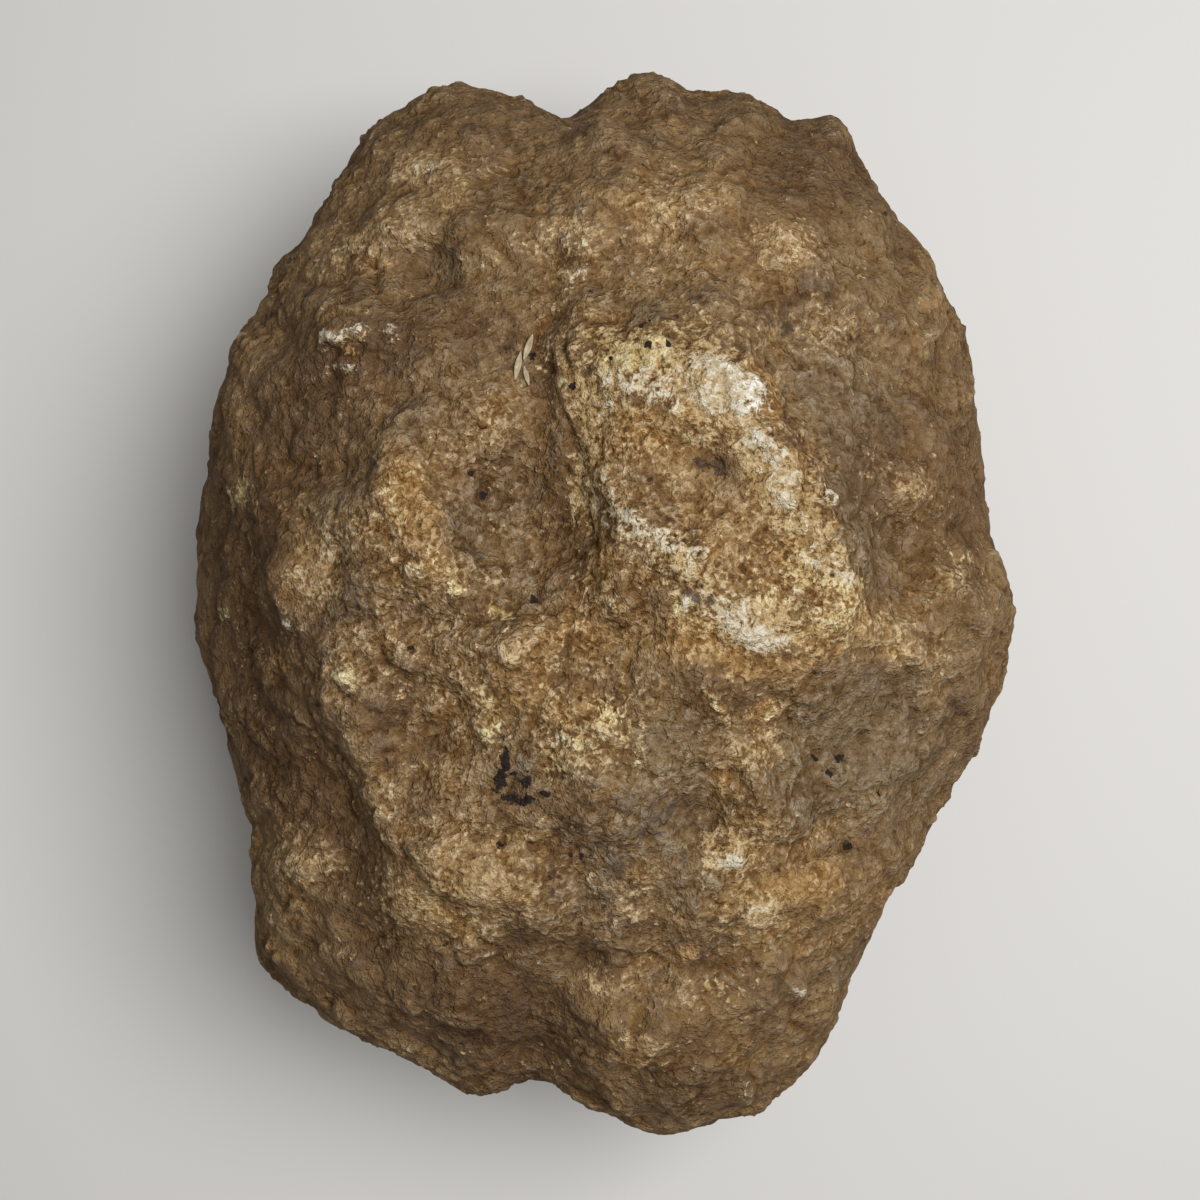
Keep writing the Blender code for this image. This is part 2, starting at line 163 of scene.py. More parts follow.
YELLOW_CRUST = [
    (641, 355, 4.4, 2.8, 5, 0.6), (633, 353, 2.8, 2, -20, 0.6), (633, 352, 3.2, 2, 60, 0.8),
    (652, 364, 2.8, 1.6, 20, 0.45), (603, 372, 2.4, 1, 70, 0.4), (679, 604, 1.8, 0.9, 80, 0.7),
    (687, 558, 2.4, 1.8, -60, 0.5), (700, 618, 1.6, 1, 0, 0.5), (848, 580, 3.2, 1.6, -30, 0.55),
    (815, 570, 4.6, 3, -40, 0.42), (838, 612, 3.4, 2.4, 0, 0.42), (800, 640, 3.2, 2, 20, 0.42),
    (770, 590, 4, 2.6, 0, 0.3), (430, 570, 4, 2, -10, 0.32), (455, 590, 1.5, 0.8, 20, 0.7),
    (389, 500, 2.6, 1.3, -60, 0.5), (349, 673, 1.8, 1.4, 20, 0.85), (499, 610, 1.7, 0.8, -15, 0.9),
    (486, 703, 1.4, 1.1, 0, 0.7), (489, 728, 2.3, 1.4, 75, 0.62), (478, 690, 1.6, 1, 60, 0.45),
    (240, 490, 2.8, 1, 80, 0.65), (225, 615, 1.8, 1, 60, 0.5), (717, 703, 3.2, 0.6, -60, 0.6),
    (768, 718, 2.6, 1, 50, 0.5), (596, 709, 2.6, 1.4, 10, 0.48), (575, 742, 3.6, 1.5, 0, 0.48),
    (560, 770, 2.4, 1.4, 0, 0.36), (960, 565, 2.2, 1.4, 0, 0.45), (575, 386, 1.2, 0.9, 0, 0.7),
    (640, 760, 3, 2, 30, 0.3), (556, 936, 1.2, 0.9, 0, 0.6), (430, 640, 2.4, 1.4, 0, 0.3),
    (620, 725, 3, 2, 0, 0.35),
]
# Thin cream crust; the patches along the crest's left wall, beside the bowl, are partly painted light on
# that wall
CREAM_CRUST_AND_LIGHT = [
    (550, 768, 2.2, 1.6, 60, 0.4), (594, 400, 3.6, 1.1, 85, 0.36), (734, 857, 3.2, 1.5, -8, 0.5),
    (640, 342, 6.5, 3, 0, 0.55), (725, 385, 6.4, 4.4, -35, 0.85), (668, 385, 8, 4.6, -5, 0.62),
    (615, 395, 3, 5.6, 0, 0.5), (694, 435, 3.8, 2, -55, 0.55), (752, 440, 5.4, 2.6, -52, 0.62),
    (785, 492, 5.6, 4, -52, 0.72), (818, 560, 8, 4.6, -60, 0.7), (790, 620, 7, 4, -20, 0.55),
    (588, 430, 7, 2.4, 84, 0.5), (590, 490, 6.4, 2.8, 84, 0.58), (640, 527, 6.8, 3, -35, 0.62),
    (695, 565, 5, 3.2, -60, 0.58), (735, 620, 8, 3.6, -28, 0.7), (760, 470, 5, 3, -50, 0.3),
    (690, 330, 8, 2.6, 0, 0.3), (610, 335, 3, 2.4, 0, 0.35), (570, 260, 7, 3.6, 70, 0.36),
    (430, 170, 6, 2.6, -10, 0.36), (350, 255, 3.6, 2.6, 30, 0.36), (672, 210, 4.6, 3.2, 0, 0.32),
    (350, 340, 4, 2.6, 20, 0.42), (335, 545, 5, 3, 75, 0.42), (296, 625, 2.6, 2.2, -60, 0.4),
    (430, 572, 4, 2, -10, 0.2), (515, 645, 3, 1.6, 50, 0.2), (488, 582, 2, 1.8, 0, 0.4),
    (480, 720, 3, 4.4, 0, 0.36), (580, 745, 8, 5, 0, 0.42), (610, 700, 7, 4, 0, 0.32),
    (560, 660, 7, 4, 0, 0.26), (735, 850, 6, 4, -10, 0.5), (757, 912, 4.6, 3.4, -10, 0.55),
    (480, 885, 10, 5, -12, 0.36), (430, 905, 4, 2.4, -10, 0.36), (300, 856, 4.6, 3.4, 0, 0.3),
    (912, 490, 4, 2, -30, 0.26), (830, 335, 3.4, 2.6, 0, 0.36), (878, 632, 4.6, 3, 0, 0.36),
    (918, 655, 4, 2.4, 0, 0.34), (700, 650, 6, 3, 0, 0.28), (760, 745, 4, 3.4, 20, 0.36),
    (640, 1045, 4, 2.6, 0, 0.32), (720, 1000, 6, 2.6, 0, 0.24), (620, 985, 6, 2.4, 0, 0.26),
]
# Pale tan patches: partly the skin's own paler tan, partly painted light on lumps and on the crest's shaded
# left wall
PALE_TAN_AND_LIGHT = [
    (474, 880, 12, 7, -12, 0.75), (440, 915, 7, 3.4, -15, 0.55), (427, 168, 7, 3.4, -10, 0.7),
    (350, 250, 4.2, 3, 30, 0.7), (408, 222, 3.4, 2.6, 0, 0.55), (672, 207, 5.4, 4, 0, 0.75),
    (560, 240, 6, 3, 0, 0.55), (787, 246, 5, 3.4, -20, 0.6), (640, 250, 6, 3.4, 10, 0.45),
    (830, 335, 4.6, 3.4, 0, 0.6), (770, 330, 3, 2.6, 0, 0.4), (915, 490, 4.6, 3.6, -40, 0.5),
    (878, 632, 4.6, 3.2, 0, 0.6), (918, 657, 3.6, 2.4, 0, 0.55), (955, 575, 4, 3, 60, 0.5),
    (320, 560, 7, 3.6, 75, 0.75), (420, 650, 8, 6, 0, 0.4), (395, 545, 7, 3.6, -65, 0.45),
    (430, 575, 3.6, 2.6, 0, 0.4), (488, 582, 2, 1.8, 0, 0.5), (516, 648, 2.8, 2.2, 50, 0.85),
    (455, 455, 5, 4, 0, 0.35), (437, 571, 3, 2.4, -10, 0.4), (345, 690, 3.4, 2, 70, 0.5),
    (300, 855, 5.6, 4.2, 0, 0.6), (757, 750, 3.8, 2.4, 20, 0.6), (748, 832, 4.2, 2.2, 0, 0.65),
    (735, 862, 4, 2.2, 0, 0.6), (757, 917, 4.4, 3, 0, 0.7), (818, 835, 4, 1.2, 40, 0.6),
    (628, 905, 3.4, 2.4, -30, 0.5), (530, 830, 2.4, 1.2, 10, 0.6), (630, 985, 7, 3.2, 5, 0.45),
    (640, 1048, 4.2, 2.4, 0, 0.5), (700, 1000, 6, 3, 0, 0.35), (600, 610, 5, 3, 0, 0.35),
    (585, 665, 4.6, 2.6, 0, 0.5), (560, 725, 4.4, 2.6, 0, 0.45), (650, 700, 4, 3, 0, 0.35),
    (455, 700, 4, 3, 0, 0.3), (610, 330, 3.4, 2.4, 0, 0.4), (690, 330, 7, 2.4, 0, 0.45),
    (690, 490, 9, 6, -45, 0.5), (730, 560, 6, 5, 0, 0.5), (615, 450, 3, 8, 0, 0.6),
    (560, 350, 5, 3, 0, 0.4), (430, 905, 6, 4, 0, 0.5), (745, 815, 4, 3, 0, 0.5),
    (760, 500, 3, 4.6, 0, 0.4), (480, 660, 3.4, 2, 40, 0.35), (380, 800, 3.4, 2.6, 60, 0.5),
    (430, 770, 3, 2.2, 60, 0.35), (505, 420, 5, 4, 0, 0.35), (350, 640, 3, 2, 60, 0.4),
]
OCHRE = [
    (768, 388, 3, 1.1, -55, 0.7), (641, 413, 3.4, 1.2, -10, 0.6), (603, 548, 5, 1.8, -60, 0.6),
    (650, 575, 3, 1.2, -40, 0.45), (733, 560, 4, 1.4, -40, 0.5), (725, 655, 4.6, 1.4, -25, 0.5),
    (663, 520, 2.4, 0.9, -40, 0.5), (757, 374, 3.2, 1.6, -35, 1), (773, 402, 3.4, 1.3, -80, 1),
    (655, 430, 5, 2.8, -20, 0.8), (722, 420, 3, 2, 0, 0.5), (802, 458, 4.4, 3, -30, 0.75),
    (830, 528, 2.4, 1.6, -60, 0.9), (712, 538, 3.2, 1.8, 30, 0.85), (714, 556, 1.2, 0.9, 0, 1.1),
    (778, 554, 4.2, 2, -20, 0.7), (600, 562, 3.2, 1.8, 80, 0.9), (606, 447, 1.4, 1.1, 0, 1),
    (848, 585, 3.4, 2, -30, 0.8), (852, 612, 3.2, 2.2, -60, 0.8), (706, 640, 5.4, 2.4, -20, 0.9),
    (580, 632, 4.4, 2.6, 20, 0.6), (765, 668, 6, 2.4, 0, 0.75), (820, 650, 5, 2.2, 0, 0.65),
    (718, 702, 3.4, 1.2, -60, 0.7), (766, 716, 3, 1.6, 50, 0.8), (722, 783, 3.2, 1.2, 85, 0.8),
    (790, 884, 4.4, 2.6, 20, 0.7), (820, 880, 5.4, 3, 30, 0.7), (688, 950, 2.2, 1.5, 60, 0.9),
    (640, 880, 3.6, 2.4, 0, 0.45), (405, 500, 8, 4.6, -65, 0.85), (435, 565, 4, 2.6, -20, 0.6),
    (297, 510, 4, 2.6, 60, 0.4), (640, 1048, 3.6, 2.2, 0, 0.7), (740, 1060, 4.2, 2.4, 0, 0.45),
    (668, 205, 3.6, 2.6, 0, 0.5), (787, 240, 4.4, 2.6, 0, 0.55), (655, 232, 5, 2.4, 20, 0.35),
    (590, 350, 2.4, 4.6, 0, 0.35), (560, 710, 4, 2.4, 0, 0.5), (600, 715, 3.4, 2.2, 0, 0.55),
    (520, 700, 3.2, 1.6, 0, 0.6), (340, 672, 2, 1.6, 0, 0.5), (262, 590, 2.6, 1.6, 75, 0.55),
    (282, 660, 2.4, 1.4, -60, 0.5), (460, 690, 2.6, 2, 0, 0.35), (430, 900, 5.4, 2.6, -20, 0.4),
    (520, 900, 3.4, 2.4, 0, 0.35), (905, 640, 3, 2, 0, 0.45), (880, 905, 3, 2, 40, 0.4),
    (930, 700, 4, 2.4, 0, 0.3), (455, 200, 4.2, 2.4, 0, 0.35), (380, 270, 3.4, 2.2, 0, 0.4),
]
GREY = [
    (840, 460, 12, 6, 95, 0.75), (860, 545, 8, 5, 95, 0.7), (815, 360, 7, 5, -50, 0.6),
    (860, 260, 10, 7, -50, 0.35), (855, 735, 11, 9, 40, 0.85), (800, 790, 7, 6, 0, 0.6),
    (900, 690, 7, 4, 10, 0.5), (680, 757, 7, 5.4, 0, 0.6), (655, 830, 10, 5.4, 20, 0.75),
    (600, 893, 5.4, 3, 0, 0.6), (700, 880, 6, 4, 0, 0.6), (490, 510, 8, 6.4, 60, 0.6),
    (520, 590, 6, 3.4, 0, 0.5), (522, 776, 4.6, 3.4, 0, 0.9), (430, 262, 4.4, 3.4, 0, 0.8),
    (470, 150, 6, 3.6, 0, 0.3), (330, 500, 5.4, 3.2, 40, 0.6), (380, 455, 5, 3, 50, 0.6),
    (350, 600, 6, 2.4, 80, 0.6), (338, 540, 4, 2.4, 70, 0.6), (460, 530, 3.6, 2.4, 60, 0.8),
    (415, 425, 2.6, 1.8, 0, 0.7), (830, 170, 10, 5.4, -30, 0.4), (820, 970, 8, 3.4, 20, 0.4),
    (920, 800, 9, 4.4, 70, 0.45), (620, 660, 4.4, 2.4, 20, 0.4), (655, 742, 7, 5, 80, 0.6),
    (600, 130, 7, 3.4, 0, 0.3), (600, 480, 1.6, 3, 0, 0.5), (840, 500, 1.8, 2.4, 0, 0.6),
    (640, 310, 4, 2.2, 0, 0.5), (880, 400, 7, 6, 90, 0.4),
]
# Dark brown patches, mostly painted shade: on the left flank, toward the rim, in the bowl beside the crest
# and in the grooves near the bottom
UMBER_AND_SHADE = [
    (475, 130, 10, 6, 0, 0.3), (880, 470, 12, 6, 90, 0.25), (470, 470, 6, 6, 0, 0.3),
    (940, 500, 6, 14, 0, 0.45), (700, 1080, 12, 4, 0, 0.45), (810, 170, 14, 8, -35, 0.6),
    (470, 130, 12, 5, 0, 0.36), (525, 1050, 7, 9, 0, 0.8), (400, 1010, 14, 6, -25, 0.42),
    (330, 380, 12, 9, 50, 0.42), (566, 482, 12, 4.2, 88, 0.72), (548, 360, 4.4, 2.6, 70, 0.8),
    (575, 560, 5, 2.6, 80, 0.7), (715, 478, 7, 4, -45, 0.35), (640, 590, 6, 3.6, -30, 0.55),
    (735, 690, 6, 3.6, -20, 0.75), (690, 690, 4, 3, 0, 0.5), (245, 560, 14, 6, 100, 0.75),
    (262, 690, 13, 6, 105, 0.85), (300, 790, 11, 5, 115, 0.7), (360, 870, 8, 4.4, 110, 0.75),
    (277, 510, 6, 5, 80, 0.6), (300, 420, 12, 6, 70, 0.55), (420, 320, 9, 5, 20, 0.5),
    (470, 345, 7, 4.4, 60, 0.45), (515, 945, 5, 3, -10, 0.85), (590, 962, 6, 2.4, -20, 0.7),
    (470, 985, 9, 4.4, -25, 0.6), (520, 1020, 6, 5, 90, 0.8), (702, 968, 4.6, 1.8, 0, 0.5),
    (375, 940, 6, 3.6, -30, 0.5), (330, 990, 6, 3.4, -40, 0.4), (640, 845, 4.4, 2.4, 0, 0.35),
    (490, 470, 3.4, 2.4, 0, 0.3), (400, 680, 4, 5.4, 0, 0.55), (440, 740, 4.4, 3.4, 60, 0.45),
    (380, 720, 4, 3, 60, 0.5), (300, 640, 3.4, 3, 60, 0.4), (485, 225, 5.4, 4, 0, 0.5),
    (540, 300, 4, 5, 0, 0.35), (590, 900, 3.4, 2, 0, 0.3), (770, 990, 5.4, 2.4, 20, 0.35),
    (670, 1100, 9, 2.8, 0, 0.4), (670, 1040, 10, 6, 0, 0.6), (320, 800, 6, 5, 110, 0.6),
    (515, 1020, 4, 6, 90, 0.8), (855, 470, 5, 9, 0, 0.45), (805, 175, 6, 6, 0, 0.4),
    (955, 520, 4, 11, 0, 0.4), (240, 620, 4, 9, 0, 0.4),
]
# Dark stains; the patches in the groove near the bottom are painted shade
DARK_STAIN_AND_SHADE = [
    (352, 600, 6, 1.8, 80, 0.5), (352, 478, 5.4, 1.8, 50, 0.5), (405, 412, 4.6, 1.8, 35, 0.45),
    (552, 545, 3, 1.6, 70, 0.4), (516, 1018, 6, 3, 80, 0.6), (590, 800, 3.4, 1.2, -20, 0.5),
    (690, 805, 3, 1.6, 10, 0.5), (628, 868, 2.4, 1.6, 60, 0.5), (738, 480, 4, 2.2, -45, 0.4),
    (655, 317, 2, 1.1, 10, 0.75), (792, 389, 0.9, 0.7, 0, 0.7), (606, 800, 4.6, 1.9, -10, 0.7),
    (677, 806, 3.8, 1.6, 10, 0.85), (652, 828, 2.6, 1.3, 10, 0.75), (620, 875, 1.8, 1.4, 0, 0.75),
    (682, 857, 1.5, 1.1, 0, 0.7), (732, 885, 1.6, 1.3, 0, 0.7), (600, 845, 3, 1.6, -20, 0.6),
    (518, 778, 2.8, 2.4, 0, 0.8), (462, 520, 1.8, 1.6, 0, 0.65), (470, 552, 1.6, 1.4, 0, 0.75),
    (342, 590, 3.2, 1.3, 80, 0.55), (377, 462, 2.2, 1.4, 40, 0.45), (600, 680, 1.4, 1, 0, 0.5),
    (628, 664, 1.1, 0.9, 0, 0.75), (840, 742, 2.6, 1.4, 30, 0.5), (820, 852, 5, 1, 25, 0.6),
    (520, 940, 3.8, 1.8, -10, 0.6), (700, 968, 4.4, 1.2, 5, 0.6), (560, 965, 2.6, 1.4, 0, 0.5),
]
# Parts of the skin with fewer flecks and less contrast
PLAIN = [
    (700, 478, 7, 4.6, -30, 0.9), (655, 745, 9, 6, 80, 0.9), (648, 650, 6, 3.6, -15, 0.8),
    (850, 750, 8, 7, 0, 0.8), (495, 870, 6, 4, 0, 0.5), (520, 700, 4, 4, 0, 0.5),
    (640, 590, 5, 3, -30, 0.6),
]
# Small spots with crisp edges, in the same terms
BLACK_SPOTS = [
    (508, 757, 1.5, 0.6, 85, 1.1), (503, 777, 1.6, 0.85, 80, 1.05), (521, 797, 2.1, 0.8, -8, 1.05),
    (530, 780, 1.4, 0.8, 80, 0.95), (547, 791, 1.2, 0.4, 3, 1), (516, 770, 1, 0.45, 30, 0.8),
    (653, 343, 0.75, 0.5, -40, 1), (673, 340, 0.6, 0.4, 0, 1), (648, 320, 1.4, 0.5, 20, 0.8),
    (576, 383, 0.7, 0.45, 0, 1), (614, 355, 0.5, 0.35, 0, 0.9),
]
STAIN_SPOTS = [
    (706, 459, 1.5, 0.9, -30, 1), (723, 463, 1.7, 1.2, -50, 1), (690, 587, 1.1, 0.7, -20, 1),
    (700, 595, 1.3, 0.7, -60, 1), (712, 598, 0.9, 0.6, -30, 1), (790, 327, 1.3, 0.9, 60, 0.9),
]

# Broad warm and cool parts of the skin
WARM = [
    (592, 560, 9, 5, 80, 0.8), (590, 430, 12, 3.4, 88, 0.9), (640, 430, 8, 5, -20, 0.6),
    (765, 560, 12, 7, -50, 0.7), (700, 650, 10, 5, -20, 0.8), (560, 640, 10, 7, 0, 0.7),
    (530, 690, 8, 5, 0, 0.6), (400, 510, 10, 6, -65, 0.9), (440, 900, 12, 7, -15, 0.5),
    (470, 700, 6, 8, 0, 0.5), (720, 790, 6, 8, 80, 0.6), (805, 890, 10, 6, 20, 0.9),
    (650, 1050, 12, 6, 0, 0.5), (700, 200, 14, 6, 0, 0.5), (780, 240, 7, 5, 0, 0.5),
    (880, 640, 10, 5, 0, 0.5), (265, 590, 5, 9, 0, 0.4),
]
COOL = [
    (330, 400, 14, 9, 50, 0.8), (440, 350, 9, 6, 30, 0.5), (350, 600, 9, 4, 80, 0.9),
    (400, 700, 8, 6, 0, 0.5), (660, 830, 14, 7, 10, 0.8), (850, 740, 12, 9, 30, 0.7),
    (850, 450, 14, 7, 95, 0.6), (510, 500, 7, 8, 0, 0.4), (520, 1010, 8, 12, 90, 0.7),
    (400, 980, 14, 6, -20, 0.5), (800, 310, 10, 8, -40, 0.4), (580, 920, 8, 4, 0, 0.5),
    (250, 700, 10, 8, 90, 0.5),
]

# The middle of the face, where the grain shows most
MIDDLE = (595, 620, 50, 40, 90, 1)

# Dark pits, dug into the relief, the wider ones also painted black as painted shade: place, half length and
# half width in millimetres, and turn
PITS = [
    (486, 493, 0.95, 0.42, 75), (479, 459, 0.45, 0.32, 60), (473, 471, 0.5, 0.32, 20),
    (493, 466, 0.4, 0.28, 0), (506, 484, 0.35, 0.3, 0), (566, 515, 0.5, 0.35, 60),
    (571, 470, 0.45, 0.3, 80), (537, 596, 0.8, 0.5, -20), (392, 574, 0.35, 0.3, 0),
    (413, 645, 0.7, 0.45, 0), (527, 739, 0.4, 0.35, 0), (503, 841, 0.6, 0.4, 80), (574, 851, 0.55, 0.45, 0),
    (584, 853, 0.6, 0.4, 0), (818, 756, 0.6, 0.4, 0), (842, 755, 0.8, 0.5, 40), (833, 770, 0.5, 0.4, 0),
    (851, 843, 0.7, 0.6, 0), (882, 791, 0.5, 0.4, 0), (812, 742, 0.4, 0.3, 0), (862, 736, 0.45, 0.35, 0),
    (536, 352, 0.7, 0.45, 70), (553, 372, 0.45, 0.35, 0), (608, 365, 0.45, 0.3, 70),
    (700, 445, 0.4, 0.3, 0), (765, 478, 0.4, 0.3, 0), (770, 452, 0.4, 0.3, 0),
]

# Cracks and sharp ledges: width and depth in millimetres, and the line in the photograph
CRACKS = [
    (0.55, 0.9, [(562, 392), (568, 412), (576, 432), (579, 452), (584, 474)]),
    (0.55, 0.7, [(582, 500), (586, 520), (592, 545), (597, 562)]),
    (0.5, 0.5, [(560, 330), (573, 352), (580, 372)]),
    (0.5, 0.6, [(622, 400), (625, 425), (622, 455), (630, 470)]),
    (0.5, 0.6, [(632, 440), (650, 428), (662, 415)]),
    (0.6, 0.9, [(532, 842), (542, 848), (551, 855)]),
    (0.6, 0.7, [(498, 838), (510, 832), (524, 836), (536, 845)]),
    (0.6, 0.7, [(405, 715), (420, 705), (427, 712), (436, 722)]),
    (0.6, 0.7, [(425, 640), (440, 628), (455, 622), (470, 625)]),
    (0.55, 0.6, [(370, 630), (375, 650), (388, 666), (402, 672)]),
    (0.6, 0.7, [(485, 604), (520, 612), (550, 610), (575, 602)]),
    (0.5, 0.5, [(705, 773), (722, 772), (738, 770)]),
    (0.7, 0.8, [(795, 862), (820, 856), (845, 846), (868, 838)]),
    (0.9, 1, [(568, 968), (610, 955), (650, 962), (690, 970), (735, 966)]),
    (0.6, 0.7, [(497, 655), (500, 668), (512, 672)]),
    (0.5, 0.6, [(455, 560), (462, 572), (472, 578)]),
    (0.5, 0.5, [(595, 330), (610, 318), (625, 316)]),
    (0.7, 0.8, [(480, 232), (500, 250), (512, 275), (530, 290)]),
    (0.6, 0.6, [(845, 655), (870, 652), (900, 645), (930, 640)]),
    (0.6, 0.8, [(772, 650), (790, 662), (815, 660)]),
    (0.7, 0.8, [(380, 250), (372, 275), (385, 300), (410, 308)]),
]

# Blades of the husk: foot and tip in the photograph, width in millimetres, and how far the tip lifts
BLADES = [
    ((523.7, 360), (533, 336), 0.8, 0.9),
    ((515, 380), (521, 352), 0.8, 0.3),
    ((524, 366), (529, 385.5), 0.6, 0.2),
]
BLADE_CLEARANCE = 0.15
BLADE_CUP = 0.35  # how far a blade's sides rise, over its half width
BLADE_GRID = {"x_subdivisions": 4, "y_subdivisions": 12, "size": MM}

# Small forms that stand out or sink in, with the height in place of the strength
NODULES = [
    (575, 365, 9, 2.8, 84, 2), (560, 470, 8, 3, 80, 0.8), (520, 652, 4, 2.4, 50, 0.6),
    (437, 569, 3.6, 2.6, -10, 1), (488, 582, 2.1, 1.9, 0, 1), (433, 706, 2, 1.8, 0, 0.8),
    (410, 225, 3.4, 3, 0, 1.2), (430, 268, 3.6, 3.2, 0, -1.6), (350, 252, 3.2, 2.4, 20, 0.9),
    (335, 336, 1.6, 1.3, 0, 1), (360, 330, 1.6, 1.2, 0, 0.9), (330, 536, 3.4, 2, 75, 0.8),
    (318, 580, 3, 2.2, 60, 0.8), (294, 622, 2, 1.4, -60, 0.7), (350, 674, 1.9, 1.6, 0, 0.8),
    (404, 655, 2.6, 2.2, 0, 0.8), (462, 642, 3, 2.2, 20, 0.7), (372, 700, 3, 2.4, 0, 0.7),
    (735, 858, 3.4, 1.6, -8, 0.9), (757, 752, 3.6, 2.4, 20, 0.8), (757, 915, 2.8, 2, 0, 0.8),
    (722, 784, 2.6, 0.9, 85, 0.6), (717, 704, 3.6, 0.8, -60, 0.7), (766, 718, 3, 1, 50, 0.6),
    (530, 832, 2.2, 1, 10, 0.6), (640, 1048, 3.4, 2.2, 0, 0.8), (690, 1010, 6, 3, 10, 0.8),
    (746, 1090, 1.8, 1.6, 0, 0.9), (797, 987, 1.6, 1.1, 0, 0.9), (716, 463, 2.8, 1.8, -25, -0.7),
    (700, 593, 2.6, 1.2, -40, -0.6), (612, 790, 3, 2, 0, 0.6), (585, 760, 2.6, 1.8, 20, 0.6),
    (566, 700, 3.6, 2.4, 0, 0.8), (612, 735, 3, 2.4, 0, 0.7), (655, 700, 3.4, 2.6, 30, 0.6),
    (300, 858, 4.6, 3.6, 0, 1.2), (340, 905, 3.6, 2.8, 0, 0.9), (292, 925, 3, 2.6, 0, 0.9),
    (880, 632, 3.4, 2.4, 0, 0.8), (915, 490, 3.8, 3, -40, 1), (985, 612, 3, 4, 0, 0.9),
    (910, 660, 3, 2, 0, 0.6), (826, 900, 4.4, 3, 20, 0.9), (672, 207, 4.2, 3.2, 0, 0.9),
    (787, 246, 4.4, 3, -20, 0.8), (565, 240, 4.4, 2.2, 5, 0.7), (427, 170, 4.6, 2.6, -10, 0.8),
    (355, 470, 2.8, 2.2, 0, -0.8), (420, 430, 3, 2.2, 0, -0.7), (400, 690, 2, 3, 0, -0.8),
    (500, 790, 3, 2, 0, -0.6),
]

PATCHES = {
    "bright_crust_and_highlight": BRIGHT_CRUST_AND_HIGHLIGHT,
    "white_crust": WHITE_CRUST,
    "cream_crust_and_light": CREAM_CRUST_AND_LIGHT,
    "yellow_crust": YELLOW_CRUST,
    "pale_tan_and_light": PALE_TAN_AND_LIGHT,
    "ochre": OCHRE,
    "grey": GREY,
    "umber_and_shade": UMBER_AND_SHADE,
    "dark_stain_and_shade": DARK_STAIN_AND_SHADE,
    "plain": PLAIN,
}


def smoothstep(low, high, value):
    t = np.clip((value - low) / (high - low), 0.0, 1.0)
    return t * t * (3.0 - 2.0 * t)


def in_view(place):
    """A place in the photograph, in millimetres right of and above its middle, at the rim's level."""
    return (place[0] - PHOTO_MIDDLE) * PIXEL, (PHOTO_MIDDLE - place[1]) * PIXEL


def patch(view, x, y, half_length, half_width, turn, strength, flatness=SOFT_TOP):
    """A soft oval, at its strength in its middle and at half of it at its half length and half width."""
    middle = in_view((x, y))
    c, s = math.cos(math.radians(turn)), math.sin(math.radians(turn))
    right, up = view[:, 0] - middle[0], view[:, 1] - middle[1]
    along = (right * c + up * s) / half_length
    across = (up * c - right * s) / half_width
    return strength * np.exp(-HALF_AT_EDGE * (along**2 + across**2) ** flatness)


def patches(view, places):
    """Where any of the patches lies, from 0 to 1."""
    bare = np.ones(len(view))
    for form in places:
        bare *= 1.0 - np.clip(patch(view, *form), 0.0, 1.0)
    return 1.0 - bare


def line_distance(view, points):
    """Distance to a line in the photograph, and how far along it is, from 0 to 1."""
    ends = np.array([in_view(point) for point in points])
    lengths = np.hypot(*np.diff(ends, axis=0).T)
    nearest = np.full(len(view), np.inf)
    share = np.zeros(len(view))
    run = 0.0
    for start, end, length in zip(ends, ends[1:], lengths):
        way = (end - start) / length
        along = np.clip((view - start) @ way, 0.0, length)
        gap = np.linalg.norm(view - start - along[:, None] * way, axis=1)
        closer = gap < nearest
        nearest = np.where(closer, gap, nearest)
        share = np.where(closer, (run + along) / lengths.sum(), share)
        run += length
    return nearest, share


